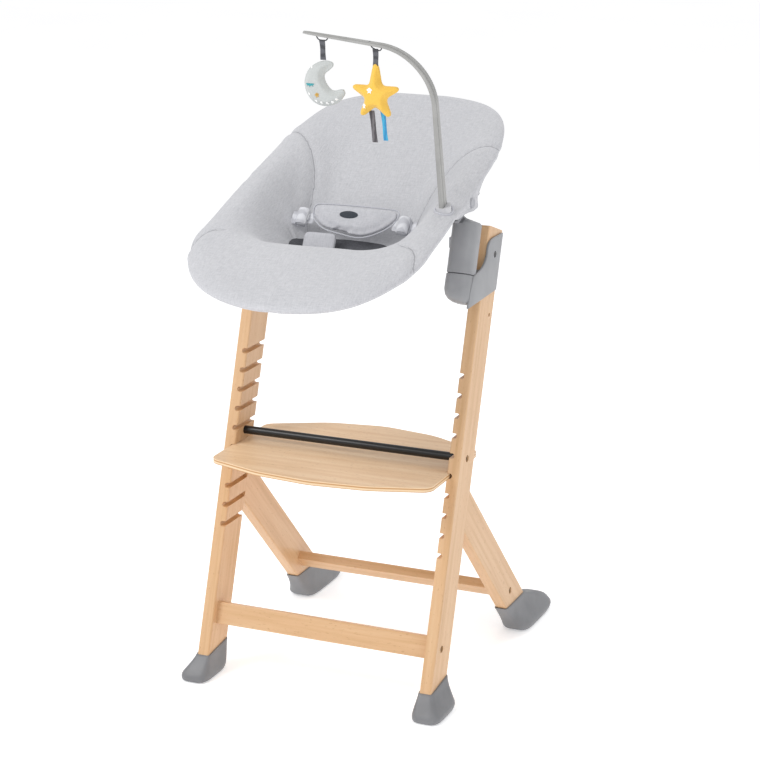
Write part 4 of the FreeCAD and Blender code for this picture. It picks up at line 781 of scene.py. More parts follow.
@dataclass
class Brackets:
    """Brackets on the front legs, and the oval posts that plug into their sockets."""

    lean: float = 18.46
    count: int = 64
    leg_front: float = -0.235
    inner_x: float = 0.2012
    heel_x: float = 0.2048
    web_x: float = 0.2305
    socket: tuple[float, float, float] = (0.206, -0.040, 0.757)
    half_x: float = 0.0232
    seam: float = -0.0085
    half_v: float = 0.0284
    pivot: tuple[float, float] = (-0.012, 0.868)
    hub_slope: float = 18.16
    tilt: float = 10.0
    hub_room: tuple[float, float] = (-0.0118, 0.0330)
    plate: tuple[tuple[float, float], ...] = (
        (-0.0720, 0.6968), (0.0640, 0.7005), (0.0960, 0.7965), (0.0460, 0.7965), (0.0320, 0.7945),
        (0.0225, 0.7860), (0.0200, 0.7720), (0.0080, 0.7600), (-0.0080, 0.7530), (-0.0300, 0.7500),
        (-0.0480, 0.7480), (-0.0620, 0.7230))

    def along(self, run: float, ring: np.ndarray, x: float = 0.206, v: float = 0.0) -> np.ndarray:
        """Place a flat ring square to the socket's axis.

        Args:
            run: Distance up the axis from the socket's mouth.
            ring: Ring of x and depth.
            x: Centre of the ring across the seat.
            v: Centre of the ring in depth.

        Returns:
            Places of the ring.
        """
        lean = math.radians(self.lean)
        depth = ring[:, 1] + v
        return np.column_stack([ring[:, 0] + x,
                                self.socket[1] + run * math.sin(lean) + depth * math.cos(lean),
                                self.socket[2] + run * math.cos(lean) - depth * math.sin(lean)])

    def post(self, label: str, side: int) -> None:
        """Mould one post: spigot, oval shaft, domed hood and the neck that holds the hinge."""
        rows: list[tuple[float, float, float, float, float, float]] = [
            (-0.0415, 0.0138, 0.0178, 7, 0.206, 0), (-0.0400, 0.0149, 0.0189, 7, 0.206, 0),
            (self.seam - 0.0004, 0.0149, 0.0189, 7, 0.206, 0),
            (self.seam + 0.0004, self.half_x - 0.001, self.half_v - 0.001, 2.5, 0.206, 0),
            (self.seam + 0.0014, self.half_x, self.half_v, 2.5, self.socket[0], 0),
            (0.030, self.half_x, self.half_v, 2.5, self.socket[0], 0),
            (0.060, self.half_x, self.half_v, 2.5, self.socket[0], 0),
            (0.078, self.half_x, self.half_v, 2.5, self.socket[0], 0),
            (0.0800, self.half_x * 0.985, self.half_v * 0.98, 2.5, 0.2058, 0),
            (0.0825, self.half_x * 0.92, self.half_v * 0.90, 2.4, 0.2048, 0.0006),
            (0.0850, self.half_x * 0.70, self.half_v * 0.70, 2.3, 0.2000, 0.0),
            (0.0885, self.half_x * 0.42, self.half_v * 0.50, 2.3, 0.1935, -0.003),
            (0.0930, self.half_x * 0.31, self.half_v * 0.42, 2.6, 0.1900, -0.0060),
            (0.105, 0.0070, 0.0118, 3, 0.190, -0.0085), (0.114, 0.0070, 0.0123, 3, 0.190, -0.0086),
            (0.122, 0.0070, 0.0100, 3, 0.190, -0.0086), (0.126, 0.0060, 0.0050, 2.5, 0.190, -0.0086)]
        rings = [self.along(run, oval_ring(self.count, a, b, power), x, v) * np.array([side, 1, 1])
                 for run, a, b, power, x, v in rows]
        piece = loft("post_shell_" + label, rings)
        self.relieve(piece, side, (0.1862, 0.2073), (-0.0528, -0.0252))
        self.relieve(piece, side, (0.1989, 0.2073), (-0.0528, 0.0520))
        complete(piece, "post_shell_" + label, Finish.BRACKET, "carrier",
                 ("post_" + label,), 38)

    def relieve(self, piece: bpy.types.Object, side: int, across: tuple[float, float],
                run: tuple[float, float]) -> None:
        """Cut the room that the hub needs at its furthest forward tilt.

        Args:
            piece: The post.
            side: -1 or 1.
            across: Near and far x of the cut.
            run: Its reach along the hub from the pivot.
        """
        turn = math.radians(self.hub_slope + self.tilt)
        middle, rise = sum(run) / 2, sum(self.hub_room) / 2
        bpy.ops.object.select_all(action="DESELECT")
        bpy.ops.mesh.primitive_cube_add(size=1, location=(
            side * sum(across) / 2, self.pivot[0] + middle * math.cos(turn) - rise * math.sin(turn),
            self.pivot[1] + middle * math.sin(turn) + rise * math.cos(turn)), rotation=(turn, 0, 0),
            scale=(across[1] - across[0], run[1] - run[0], self.hub_room[1] - self.hub_room[0]))
        room = bpy.context.object
        finish_modifier(piece, "BOOLEAN", operation="DIFFERENCE", object=room, solver="EXACT")
        bpy.data.objects.remove(room)

    def cup(self, side: int) -> bpy.types.Object:
        """Mould the socket with its pocket, round foot and inner corner."""
        rows: list[tuple[float, float, float, float, float]] = [
            (-0.0430, 0.0152, 0.0192, 7, 0.206), (self.seam - 0.0008, 0.0152, 0.0192, 7, 0.206),
            (self.seam - 0.0008, self.half_x - 0.0008, self.half_v - 0.0008, 2.5, 0.206),
            (self.seam - 0.0018, self.half_x + 0.0002, self.half_v + 0.0002, 2.5, 0.206),
            (-0.020, self.half_x + 0.0006, self.half_v + 0.0006, 2.6, 0.2062),
            (-0.036, self.half_x + 0.0006, self.half_v + 0.0004, 2.8, 0.2064),
            (-0.046, self.half_x - 0.0008, self.half_v - 0.0012, 3.0, 0.2080),
            (-0.053, self.half_x - 0.0040, self.half_v - 0.0042, 3.0, 0.2105),
            (-0.0575, self.half_x - 0.0090, self.half_v - 0.0095, 2.8, 0.2135),
            (-0.0595, self.half_x - 0.0150, self.half_v - 0.0165, 2.6, 0.2155)]
        rings = [self.along(run, oval_ring(self.count, a, b, power), x) * np.array([side, 1, 1])
                 for run, a, b, power, x in rows]
        return loft("cup", rings)

    def sheet_part(self, outline: Sequence[tuple[float, float]], low: float, high: float, side: int,
                   bevel: float) -> bpy.types.Object:
        """Cut one upright plate from an outline in depth and height.

        Args:
            outline: Corner places.
            low: Inner x.
            high: Outer x.
            side: -1 or 1.
            bevel: Round of its edges.

        Returns:
            The plate.
        """
        piece = slab_from_outline("plate", outline, high - low, bevel, 3)
        spots = points(piece)
        across = (spots[:, 2] + (low + high) / 2) * side
        move_points(piece, np.column_stack([across, spots[:, 0], spots[:, 1]]))
        outward(piece)
        return piece

    def bracket(self, label: str, side: int) -> None:
        """Mould one bracket: socket, two cheeks, webs and its bolt hole."""
        rise = math.tan(math.radians(self.lean))

        def strip(fore: float, aft: float, low: float, high: float) -> list[tuple[float, float]]:
            """Piece of a band that leans with the leg."""
            return [(fore + low * rise, low), (aft + low * rise, low), (aft + high * rise, high),
                    (fore + high * rise, high)]

        fore = self.leg_front
        heel = strip(fore - 0.004, fore + 0.0725, 0.7000, 0.7760)
        web = strip(fore - 0.0065, fore - 0.0006, 0.7000, 0.7460)
        outer = self.sheet_part(self.smooth_outline(), 0.2272, 0.2312, side, 0.0012)
        bpy.ops.object.select_all(action="DESELECT")
        bpy.ops.mesh.primitive_cylinder_add(vertices=40, radius=0.0062, depth=0.02,
                                            location=(0.229 * side, 0.056, 0.766),
                                            rotation=(0, math.pi / 2, 0))
        drill = bpy.context.object
        finish_modifier(outer, "BOOLEAN", operation="DIFFERENCE", object=drill, solver="EXACT")
        bpy.data.objects.remove(drill)
        parts = [outer, self.cup(side), self.sheet_part(heel, self.inner_x, self.heel_x, side, 0.001),
                 self.sheet_part(web, self.inner_x, self.web_x, side, 0.001)]
        bpy.ops.object.select_all(action="DESELECT")
        for part in parts:
            part.select_set(True)
        bpy.context.view_layer.objects.active = parts[1]
        bpy.ops.object.join()
        complete(bpy.context.object, "bracket_shell_" + label, Finish.BRACKET, "chair",
                 ("bracket_" + label,), 38)

    def smooth_outline(self) -> list[tuple[float, float]]:
        """Outline of the outer cheek with its concave front edge rounded."""
        knots = np.array(self.plate)
        row: list[tuple[float, float]] = []
        for index, spot in enumerate(knots):
            if index in (0, 1, 2, 3, 10, 11):
                row.append((float(spot[0]), float(spot[1])))
                continue
            back, ahead = knots[index - 1], knots[index + 1]
            for part in (0.25, 0.5, 0.75):
                start, end = (back + spot) / 2, (spot + ahead) / 2
                curve = (1 - part) ** 2 * start + 2 * part * (1 - part) * spot + part ** 2 * end
                row.append((float(curve[0]), float(curve[1])))
        return row

    def build(self) -> None:
        """Mould both brackets and posts."""
        for label, side in SIDES:
            self.post(label, side)
            self.bracket(label, side)
            LOG.info("moulded the %s bracket and post", label)


# ------------------------------------------------------------------ the seat cover


@dataclass
class SeatCover:
    """Sewn fabric sling stretched over the seat ring, with its rolled rim and scalloped hem."""

    half: float = 0.211
    mid: float = -0.187
    fore: float = 0.181
    aft: float = 0.467
    fore_power: float = 2.52
    aft_power: float = 5.04
    rim_z: float = 0.887
    rim_slope: float = 0.328
    fore_droop: float = 0.020
    aft_lift: float = 0.023
    roll: float = 0.010
    roll_wide: float = 0.033
    flat_share: float = 0.36
    wall_share: float = 0.86
    centre: float = -0.10
    stations: int = 152
    rings: int = 34
    thick: float = 0.0032
    hem_z: float = 0.8535
    tube_radius: float = 0.0058
    tube_sink: float = 0.0045
    tube_inset: dict[str, float] = field(default_factory=lambda: {"front": 0.0165, "rear": 0.0125})
    seam_plan: tuple[tuple[float, float], ...] = (
        (0.208, 0.142), (0.188, 0.134), (0.166, 0.120), (0.145, 0.102), (0.128, 0.081), (0.115, 0.056),
        (0.107, 0.026), (0.103, 0.004), (0.098, -0.012), (0.088, -0.025), (0.072, -0.030))
    lip_seam: tuple[tuple[float, float], ...] = (
        (0.165, -0.205), (0.179, -0.211), (0.192, -0.221), (0.200, -0.238), (0.206, -0.262))
    knots: tuple[tuple[float, float], ...] = (
        (-0.372, 0.7560), (-0.330, 0.772), (-0.280, 0.7985), (-0.250, 0.8105), (-0.225, 0.8165),
        (-0.208, 0.8155), (-0.190, 0.808), (-0.160, 0.787), (-0.130, 0.771), (-0.090, 0.764),
        (-0.050, 0.772), (0.000, 0.797), (0.056, 0.849), (0.100, 0.885), (0.160, 0.930),
        (0.220, 0.972), (0.260, 1.000), (0.290, 1.015))

    def __post_init__(self) -> None:
        """Work out the smooth centre line and the rim curve."""
        grid = np.linspace(-0.42, 0.34, 761)
        ys, zs = (np.array(row) for row in zip(*self.knots))
        line = np.interp(grid, ys, zs)
        low, high = grid < ys[0], grid > ys[-1]
        line[low] = zs[0] + (grid[low] - ys[0]) * (zs[1] - zs[0]) / (ys[1] - ys[0])
        line[high] = zs[-1] + (grid[high] - ys[-1]) * (zs[-1] - zs[-2]) / (ys[-1] - ys[-2])
        bell = np.exp(-0.5 * (np.arange(-24, 25) / 9.0) ** 2)
        padded = np.pad(line, 24, mode="reflect", reflect_type="odd")
        self.line_y, self.line_z = grid, np.convolve(padded, bell / bell.sum(), mode="valid")
        turn = np.linspace(0, math.pi, 4001)
        fore, across = -np.cos(turn), np.sin(turn)
        power = np.where(fore < 0, self.fore_power, self.aft_power)
        reach = np.where(fore < 0, self.fore, self.aft)
        rim = np.stack([self.half * across ** (2 / power),
                        self.mid + reach * np.sign(fore) * np.abs(fore) ** (2 / power)], 1)
        gone = np.concatenate([[0], np.cumsum(np.linalg.norm(np.diff(rim, axis=0), axis=1))])
        self.rim_run, self.rim_plan = gone / gone[-1], rim

    def rim_point(self, share: np.ndarray) -> np.ndarray:
        """Plan places on the rim.

        Args:
            share: Signed share of the half rim from the feet, negative on the left.

        Returns:
            Rows of x and y.
        """
        x = np.interp(np.abs(share), self.rim_run, self.rim_plan[:, 0]) * np.sign(share)
        return np.stack([x, np.interp(np.abs(share), self.rim_run, self.rim_plan[:, 1])], 1)

    def half_width(self, y: np.ndarray) -> np.ndarray:
        """Half width of the seat at each y."""
        fore = y < self.mid
        power = np.where(fore, self.fore_power, self.aft_power)
        share = np.clip(np.abs(y - self.mid) / np.where(fore, self.fore, self.aft), 0, 0.9999)
        return self.half * (1 - share ** power) ** (1 / power)

    def rim_height(self, y: np.ndarray) -> np.ndarray:
        """Height of the rim at each y."""
        shrink = self.half_width(y) / self.half
        return self.rim_z + self.rim_slope * y + np.where(y < self.mid, -self.fore_droop,
                                                          self.aft_lift) * (1 - shrink ** 2)

    def height(self, x: np.ndarray, y: np.ndarray, inset: np.ndarray) -> np.ndarray:
        """Height of the sling's upper face.

        Args:
            x: Plan x.
            y: Plan y.
            inset: Plan distance to the rim.

        Returns:
            Heights in metres.
        """
        middle = np.interp(y, self.line_y, self.line_z)
        share = np.clip(np.abs(x) / self.half_width(y), 0, 1)
        rise = smooth_step(share, self.flat_share, self.wall_share)
        rim = self.rim_height(y) + self.roll
        drop = self.roll * np.clip(1 - inset / self.roll_wide, 0, 1) ** 2
        return middle + (rim - middle) * rise - drop

    def disc(self) -> bpy.types.Object:
        """Model a ringed disc: an evenly filled middle and extruded rings out to the hem.

        Returns:
            The flat disc, one unit to the rim.
        """
        bpy.ops.object.select_all(action="DESELECT")
        bpy.ops.mesh.primitive_circle_add(vertices=self.stations, radius=0.16)
        piece = bpy.context.object
        radii = list(1 - (1 - np.linspace(0.16, 1, self.rings + 1)[1:]) ** 1.12)
        radii += [1 + 0.01 * k for k in range(1, 8)]
        with editing(piece):
            bpy.ops.mesh.select_all(action="SELECT")
            bpy.ops.mesh.fill_grid(span=self.stations // 4)
            last = 0.16
            pick(piece, lambda edge: edge.is_boundary, "EDGE")
            for radius in radii:
                grow = radius / last
                bpy.ops.mesh.extrude_edges_move()
                bpy.ops.transform.resize(value=(grow, grow, 1))
                last = radius
        return piece

    def hem_depth(self, y: np.ndarray) -> np.ndarray:
        """Depth of the hanging hem over the hinge, 0 where the rim is only rolled."""
        over = smooth_step(y, -0.105, -0.072) * (1 - smooth_step(y, 0.020, 0.062))
        wave = 0.0012 * np.sin((y + 0.02) * 90) * over
        return over * np.maximum(self.rim_height(y) - self.hem_z + wave, 0.012)

    def drape(self, piece: bpy.types.Object) -> None:
        """Carry the disc onto the sling's shape."""
        flat = points(piece)
        radius = np.hypot(flat[:, 0], flat[:, 1])
        share = np.arctan2(flat[:, 0], -flat[:, 1]) / math.pi
        rim = self.rim_point(share)
        heart = np.array([0.0, self.centre])
        inner = np.minimum(radius, 1)[:, None]
        plan = heart + inner * (rim - heart)
        inset = (1 - inner[:, 0]) * np.linalg.norm(rim - heart, axis=1)
        step = 0.004
        ahead = self.rim_point(np.clip(share + step, -1, 1)) - self.rim_point(np.clip(share - step, -1, 1))
        away = np.stack([ahead[:, 1], -ahead[:, 0]], 1)
        away /= np.maximum(np.linalg.norm(away, axis=1, keepdims=True), 1e-9)
        z = self.height(plan[:, 0], plan[:, 1], inset)
        ring = np.clip(np.round((radius - 1) / 0.01), 0, 7)
        rolled_out = np.array([0, 0.8, 0.4, -3, -9, -15, -20, -24]) * MM
        rolled_down = np.array([0, 3.5, 7.5, 11, 12.5, 11.5, 8.5, 4.5]) * MM
        over = smooth_step(rim[:, 1], -0.105, -0.072) * (1 - smooth_step(rim[:, 1], 0.020, 0.062))
        depth = self.hem_depth(rim[:, 1])
        hung_out = np.interp(ring, (0, 2, 5, 7), (0, 1.6 * MM, 0.8 * MM, 2.2 * MM))
        out = rolled_out[ring.astype(int)] * (1 - over) + hung_out * over
        down = rolled_down[ring.astype(int)] * (1 - over) + depth * ring / 7
        plan = plan + away * out[:, None]
        move_points(piece, np.column_stack([plan, z - down]))

    def seam_field(self, piece: bpy.types.Object) -> tuple[np.ndarray, np.ndarray]:
        """Distance to the nearest seam and run along it for every vertex."""
        spots = points(piece)
        best = np.full(len(spots), 9.0)
        off = np.full(len(spots), 9.0)
        run = np.zeros(len(spots))
        for plan in (self.seam_plan, self.lip_seam):
            knots = np.array(plan)
            share = np.linspace(0, len(knots) - 1, 160)
            index = np.minimum(share.astype(int), len(knots) - 2)
            t = (share - index)[:, None]
            near = knots[np.clip(index - 1, 0, len(knots) - 1)]
            far = knots[np.clip(index + 2, 0, len(knots) - 1)]
            a, b = knots[index], knots[index + 1]
            curve = 0.5 * (2 * a + (b - near) * t + (2 * near - 5 * a + 4 * b - far) * t ** 2
                           + (3 * a - near - 3 * b + far) * t ** 3)
            for sign in (-1, 1):
                xs, ys = curve[:, 0], curve[:, 1]
                inset = np.maximum(self.half_width(ys) - xs, 0)
                line = np.stack([xs * sign, ys, self.height(xs, ys, inset)], 1)
                steps = np.linalg.norm(np.diff(line, axis=0), axis=1)
                gone = np.concatenate([[0], np.cumsum(steps)])
                head, tail = line[:-1], line[1:]
                span = tail - head
                reach = spots[:, None, :] - head[None]
                part = np.clip((reach * span).sum(2) / (span ** 2).sum(1), 0, 1)
                gap = reach - part[..., None] * span[None]
                dist = np.sqrt((gap ** 2).sum(2))
                pick_one = dist.argmin(1)
                rows = np.arange(len(spots))
                shortest = dist[rows, pick_one]
                side = np.sign(span[pick_one, 0] * gap[rows, pick_one, 1]
                               - span[pick_one, 1] * gap[rows, pick_one, 0])
                closer = shortest < best
                best = np.where(closer, shortest, best)
                off = np.where(closer, shortest * np.where(side == 0, 1, side), off)
                run = np.where(closer, gone[pick_one] + part[rows, pick_one] * steps[pick_one], run)
        return off, run

    def build(self) -> bpy.types.Object:
        """Model, drape, thicken and sew the cover."""
        piece = self.disc()
        self.drape(piece)
        subdivide_smooth(piece)
        with editing(piece):
            bpy.ops.mesh.select_all(action="SELECT")
            bpy.ops.mesh.normals_make_consistent(inside=False)
        if self.faces_down(piece):
            with editing(piece):
                bpy.ops.mesh.select_all(action="SELECT")
                bpy.ops.mesh.flip_normals()
        off, _ = self.seam_field(piece)
        spots = points(piece)
        normals = np.array([v.normal[:] for v in piece.data.vertices])
        near = np.abs(off)
        dip = -1.8 * MM * np.exp(-(near / 0.006) ** 2) + 1.2 * MM * np.exp(-((near - 0.018) / 0.012) ** 2)
        pull = self.puckers(spots)
        move_points(piece, spots + normals * (dip + pull)[:, None])
        finish_modifier(piece, "SOLIDIFY", thickness=self.thick, offset=-1.0, use_even_offset=True,
                        use_rim=True)
        off, run = self.seam_field(piece)
        for name, values in (("seam_off", off), ("seam_run", run)):
            layer = piece.data.attributes.new(name, "FLOAT", "POINT")
            layer.data.foreach_set("value", values.astype(np.float32))
        piece = complete(piece, "seat_sling", Finish.COVER, "seat", ("seat_cover",), 60)
        LOG.info("built the sling with %d faces", len(piece.data.polygons))
        return piece

    @staticmethod
    def faces_down(piece: bpy.types.Object) -> bool:
        """Tell whether the middle of an open sling faces the floor."""
        total = sum(face.normal.z * face.area for face in piece.data.polygons)
        return total < 0

    @staticmethod
    def puckers(spots: np.ndarray) -> np.ndarray:
        """Small tension folds that fan out from the hinges and the crotch."""
        lift = np.zeros(len(spots))
        for x, y, z, count, reach, deep in ((0.205, -0.02, 0.88, 11, 0.055, 0.0011),
                                            (-0.205, -0.02, 0.88, 11, 0.055, 0.0011),
                                            (0.09, -0.06, 0.775, 9, 0.06, 0.0012),
                                            (-0.09, -0.06, 0.775, 9, 0.06, 0.0012)):
            away = spots - np.array([x, y, z])
            reach_now = np.linalg.norm(away, axis=1)
            turn = np.arctan2(away[:, 2] + away[:, 0] * 0.5, away[:, 1])
            lift += deep * np.sin(turn * count) * np.exp(-(reach_now / reach) ** 2) \
                * smooth_step(reach_now, 0.004, 0.02)
        soft = (np.sin(spots[:, 0] * 31 + spots[:, 1] * 17) * np.sin(spots[:, 1] * 37 - spots[:, 0] * 11))
        return lift + 0.0006 * soft

    def ring(self) -> None:
        """Bend the two halves of the tube that the rolled rim hides."""
        for label, sign in (("front", -1), ("rear", 1)):
            knots = []
            for share in (np.linspace(-1, 1, 58) if sign < 0 else np.linspace(0, 2, 58)):
                turn = share - 2 if share > 1 else share
                spot = self.rim_point(np.array([turn, turn - 0.004, turn + 0.004]).clip(-1, 1))
                away = np.array([spot[2][1] - spot[1][1], spot[1][0] - spot[2][0]])
                x, y = spot[0] - self.tube_inset[label] * away / np.linalg.norm(away)
                if sign * (y + 0.012) > 0.055:
                    knots.append((float(x), float(y)))
            self.tube("ring_bar_" + label, knots)

    def tube(self, name: str, knots: list[tuple[float, float]]) -> None:
        """Sweep one half of the tube under the rim.

        Args:
            name: Name of the piece.
            knots: Plan places along the rim.
        """
        path = [(x, y, float(self.rim_height(np.array([y]))[0]) - self.tube_sink) for x, y in knots]
        piece = sweep(name, path, self.tube_radius, 5)
        complete(piece, name, Finish.RING, "seat", (name.replace("bar", "tube"),))

    def lining(self, sling: bpy.types.Object) -> None:
        """Lay the dark mesh panel in the bottom of the seat."""
        bpy.ops.object.select_all(action="DESELECT")
        bpy.ops.mesh.primitive_grid_add(x_subdivisions=44, y_subdivisions=22, size=2)
        piece = bpy.context.object
        flat = points(piece)
        u, v = flat[:, 0], flat[:, 1]
        x = 0.104 * u * np.sqrt(1 - 0.30 * v ** 2)
        y = -0.070 + 0.046 * v * np.sqrt(1 - 0.45 * u ** 2)
        inset = np.maximum(self.half_width(y) - np.abs(x), 0)
        edge = np.maximum(np.abs(u), np.abs(v)) ** 12
        move_points(piece, np.column_stack([x, y, self.height(x, y, inset) + 0.0022 - 0.002 * edge]))
        finish_modifier(piece, "SHRINKWRAP", target=sling, wrap_method="NEAREST_SURFACEPOINT",
                        wrap_mode="ABOVE_SURFACE", offset=0.0014)
        finish_modifier(piece, "SOLIDIFY", thickness=0.0012, offset=-1.0)
        complete(piece, "well_lining", Finish.LINING, "seat", smooth_angle=50)

    def slit(self) -> None:
        """Pipe the oval slit that the toy bar's collar comes through."""
        low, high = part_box("toy_bar_socket")
        centre = (low + high) / 2
        bpy.ops.object.select_all(action="DESELECT")
        bpy.ops.mesh.primitive_torus_add(major_segments=64, minor_segments=10, major_radius=0.0152,
                                         minor_radius=0.0017)
        piece = bpy.context.object
        ring = points(piece)
        x = centre.x - 0.001 + ring[:, 0]
        y = centre.y + 0.001 + ring[:, 1] * 1.12
        inset = np.maximum(self.half_width(y) - np.abs(x), 0)
        away = smooth_step(-inset, -0.001, 0.001)
        z = self.height(x, y, inset) - 0.006 * away * np.maximum(x - self.half, 0) / 0.004
        move_points(piece, np.column_stack([np.minimum(x, self.half + 0.0012), y, z + ring[:, 2] + 0.0006]))
        complete(piece, "bar_slit_piping", Finish.PIPING, "seat", smooth_angle=60)


# ------------------------------------------------------------------ the harness


@dataclass
class Harness:
    """Waist pad, crotch pad, buckles and webbing."""

    tilt: float = 48.0
    wide: float = 0.165
    tall: float = 0.062

    def frame(self) -> Matrix:
        """Axes of the waist pad."""
        low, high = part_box("waist_pad")
        return slope_frame((low + high) / 2, self.tilt)

    def wing_outline(self, shrink: float = 0.0) -> list[tuple[float, float]]:
        """Outline of the waist pad: straight top, round corners and a drooping lobe.

        Args:
            shrink: How far to come inside the edge.

        Returns:
            Places in the pad's own plane.
        """
        half, top = self.wide / 2 - shrink, self.tall / 2 - shrink
        row: list[tuple[float, float]] = []
        for k in range(25):
            u = -half + 0.010 + (2 * half - 0.020) * k / 24
            row.append((u, top))
        for k in range(1, 6):
            a = math.pi / 2 * (1 - k / 6)
            row.append((half - 0.010 + 0.010 * math.cos(a), top - 0.010 + 0.010 * math.sin(a)))
        for k in range(41):
            s = 1 - 2 * k / 40
            u = half * math.copysign(abs(s) ** 0.92, s)
            low = -top + 0.005 + 0.036 * abs(s) ** 3.2 - 0.007 * math.exp(-((u - 0.018) / 0.030) ** 2)
            row.append((u, low))
        for k in range(1, 6):
            a = math.pi / 2 * k / 6
            row.append((-half + 0.010 - 0.010 * math.cos(a), top - 0.010 + 0.010 * math.sin(a)))
        return row[::-1]

    def wing(self) -> None:
        """Build the padded waist wing with its border seam."""
        place = self.frame()
        piece = slab_from_outline("wing", self.wing_outline(0.003), 0.008)
        swell(piece, 0.0035, 0.0045)
        spots = points(piece)
        seam = self.distance_to(spots, self.wing_outline(0.010))
        sink = 1.6 * MM * np.exp(-(seam / 0.0024) ** 2)
        spots[:, 2] -= np.sign(spots[:, 2]) * sink
        spots[:, 2] += 0.004 * (1 - (spots[:, 0] / (self.wide / 2)) ** 2) - 0.003
        move_points(piece, spots)
        subdivide_smooth(piece)
        piece.matrix_world = place
        complete(piece, "waist_wing", Finish.SKIN, "seat", ("waist_pad",), 60)
        self.piping(place)
        self.badge(place)

    @staticmethod
    def distance_to(spots: np.ndarray, outline: Sequence[tuple[float, float]]) -> np.ndarray:
        """Distance in the plane from each spot to a closed outline."""
        head = np.array(outline)
        span = np.roll(head, -1, axis=0) - head
        reach = spots[:, None, :2] - head[None]
        part = np.clip((reach * span).sum(2) / np.maximum((span ** 2).sum(1), 1e-12), 0, 1)
        return np.sqrt(((reach - part[..., None] * span[None]) ** 2).sum(2)).min(1)

    def piping(self, place: Matrix) -> None:
        """Run a corded piping round the wing's edge."""
        path = [(x, y, 0.004 * (1 - (x / (self.wide / 2)) ** 2) - 0.003)
                for x, y in self.wing_outline(0.0006)[::2]]
        piece = sweep("wing_piping", path, 0.0013, 3, closed=True)
        piece.matrix_world = place
        complete(piece, "wing_piping", Finish.PIPING, "seat", smooth_angle=60)

    def badge(self, place: Matrix) -> None:
        """Sew a plain oval tab onto the wing."""
        outline = [(0.0175 * math.cos(a) - 0.006, 0.0074 * math.sin(a) + 0.007)
                   for a in np.linspace(0, 2 * math.pi, 40, endpoint=False)]
        piece = slab_from_outline("wing_badge", outline, 0.0012, 0.0004, 2)
        spots = points(piece)
        spots[:, 2] += 0.0093
        move_points(piece, spots)
        piece.matrix_world = place
        complete(piece, "wing_badge", Finish.BADGE, "seat")

    def crotch(self) -> None:
        """Build the padded crotch block below the wing."""
        low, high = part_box("crotch_pad")
        centre = (low + high) / 2
        wide, tall = (high.x - low.x) + 0.008, 0.040
        outline = []
        for a in np.linspace(0, 2 * math.pi, 56, endpoint=False):
            c, s = math.cos(a), math.sin(a)
            outline.append((wide / 2 * math.copysign(abs(c) ** 0.35, c),
                            tall / 2 * math.copysign(abs(s) ** 0.35, s)))
        piece = slab_from_outline("crotch", outline, 0.009)
        swell(piece, 0.0035, 0.004)
        subdivide_smooth(piece)
        piece.matrix_world = slope_frame(centre, 62)
        complete(piece, "crotch_block", Finish.SKIN, "seat", ("crotch_pad",), 60)

    def buckle(self, label: str, side: int) -> None:
        """Build one side-release buckle with its grips and webbing.

        Args:
            label: "left" or "right".
            side: -1 or 1.
        """
        low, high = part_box("buckle_" + label)
        place = slope_frame((low + high) / 2, self.tilt)
        outline = []
        for a in np.linspace(0, 2 * math.pi, 36, endpoint=False):
            c, s = math.cos(a), math.sin(a)
            waist = 1 - 0.12 * math.exp(-(s / 0.35) ** 2)
            outline.append((0.0105 * waist * math.copysign(abs(c) ** 0.4, c),
                            0.0165 * math.copysign(abs(s) ** 0.4, s)))
        piece = slab_from_outline("buckle_shell_" + label, outline, 0.0085, 0.0018, 3)
        with editing(piece):
            pick(piece, lambda face: face.normal.z > 0.9 and face.calc_area() > 1e-4, "FACE")
            bpy.ops.mesh.inset(thickness=0.003)
            bpy.ops.transform.translate(value=(0, 0, -0.0012))
        piece.matrix_world = place
        complete(piece, "buckle_shell_" + label, Finish.BUCKLE, "seat",
                 ("buckle_" + label,), 35)
        self.wrap(label, side, place)

    def wrap(self, label: str, side: int, place: Matrix) -> None:
        """Fold the webbing round the buckle and roll its loose end below it.

        Args:
            label: "left" or "right".
            side: -1 or 1.
            place: Axes of the buckle.
        """
        coil: list[tuple[float, float]] = []
        for k in range(46):
            turn = k * 2 * math.pi / 18 + math.pi
            grow = 0.0020 * k / 18
            coil.append((side * (0.0020 + (0.0066 + grow) * math.cos(turn)),
                         -0.0005 + (0.0046 + grow) * math.sin(turn)))
        self.strap("waist_web_" + label, coil, 0.0158, 0.0014, place, ("waist_strap_" + label,))
        tail = [(side * u, w)
                for u, w in ((0.0095, -0.0040), (0.014, -0.0052), (0.019, -0.0055), (0.0235, -0.0035))]
        self.strap("waist_tail_" + label, tail, 0.0125, 0.0015, place, ())
        tab = [(-side * u, w)
               for u, w in ((0.004, -0.0015), (0.009, -0.0025), (0.014, -0.0030), (0.020, -0.0030))]
        self.strap("waist_tab_" + label, tab, 0.0105, 0.0015, place, ())

    @staticmethod
    def strap(name: str, path: Sequence[tuple[float, float]], half: float, thick: float, place: Matrix,
              stands_for: tuple[str, ...]) -> None:
        """Sweep a flat strap along a path in its own x-z plane.

        Args:
            name: Name of the piece.
            path: Places along the strap.
            half: Half its width.
            thick: Its thickness.
            place: Axes of the path.
            stands_for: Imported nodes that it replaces.
        """
        bpy.ops.object.select_all(action="DESELECT")
        bpy.ops.mesh.primitive_grid_add(x_subdivisions=len(path) - 1, y_subdivisions=4, size=2)
        piece = bpy.context.object
        flat = points(piece)
        index = np.round((flat[:, 0] + 1) / 2 * (len(path) - 1)).astype(int)
        spots = np.array(path)[index]
        move_points(piece, np.column_stack([spots[:, 0], flat[:, 1] * half, spots[:, 1]]))
        finish_modifier(piece, "SOLIDIFY", thickness=thick, offset=0.0)
        outward(piece)
        subdivide_smooth(piece)
        piece.matrix_world = place
        complete(piece, name, Finish.STRAP, "seat", stands_for, 50)

    def build(self) -> None:
        """Build the whole harness."""
        self.wing()
        self.crotch()
        for label, side in SIDES:
            self.buckle(label, side)
        LOG.info("built the harness")


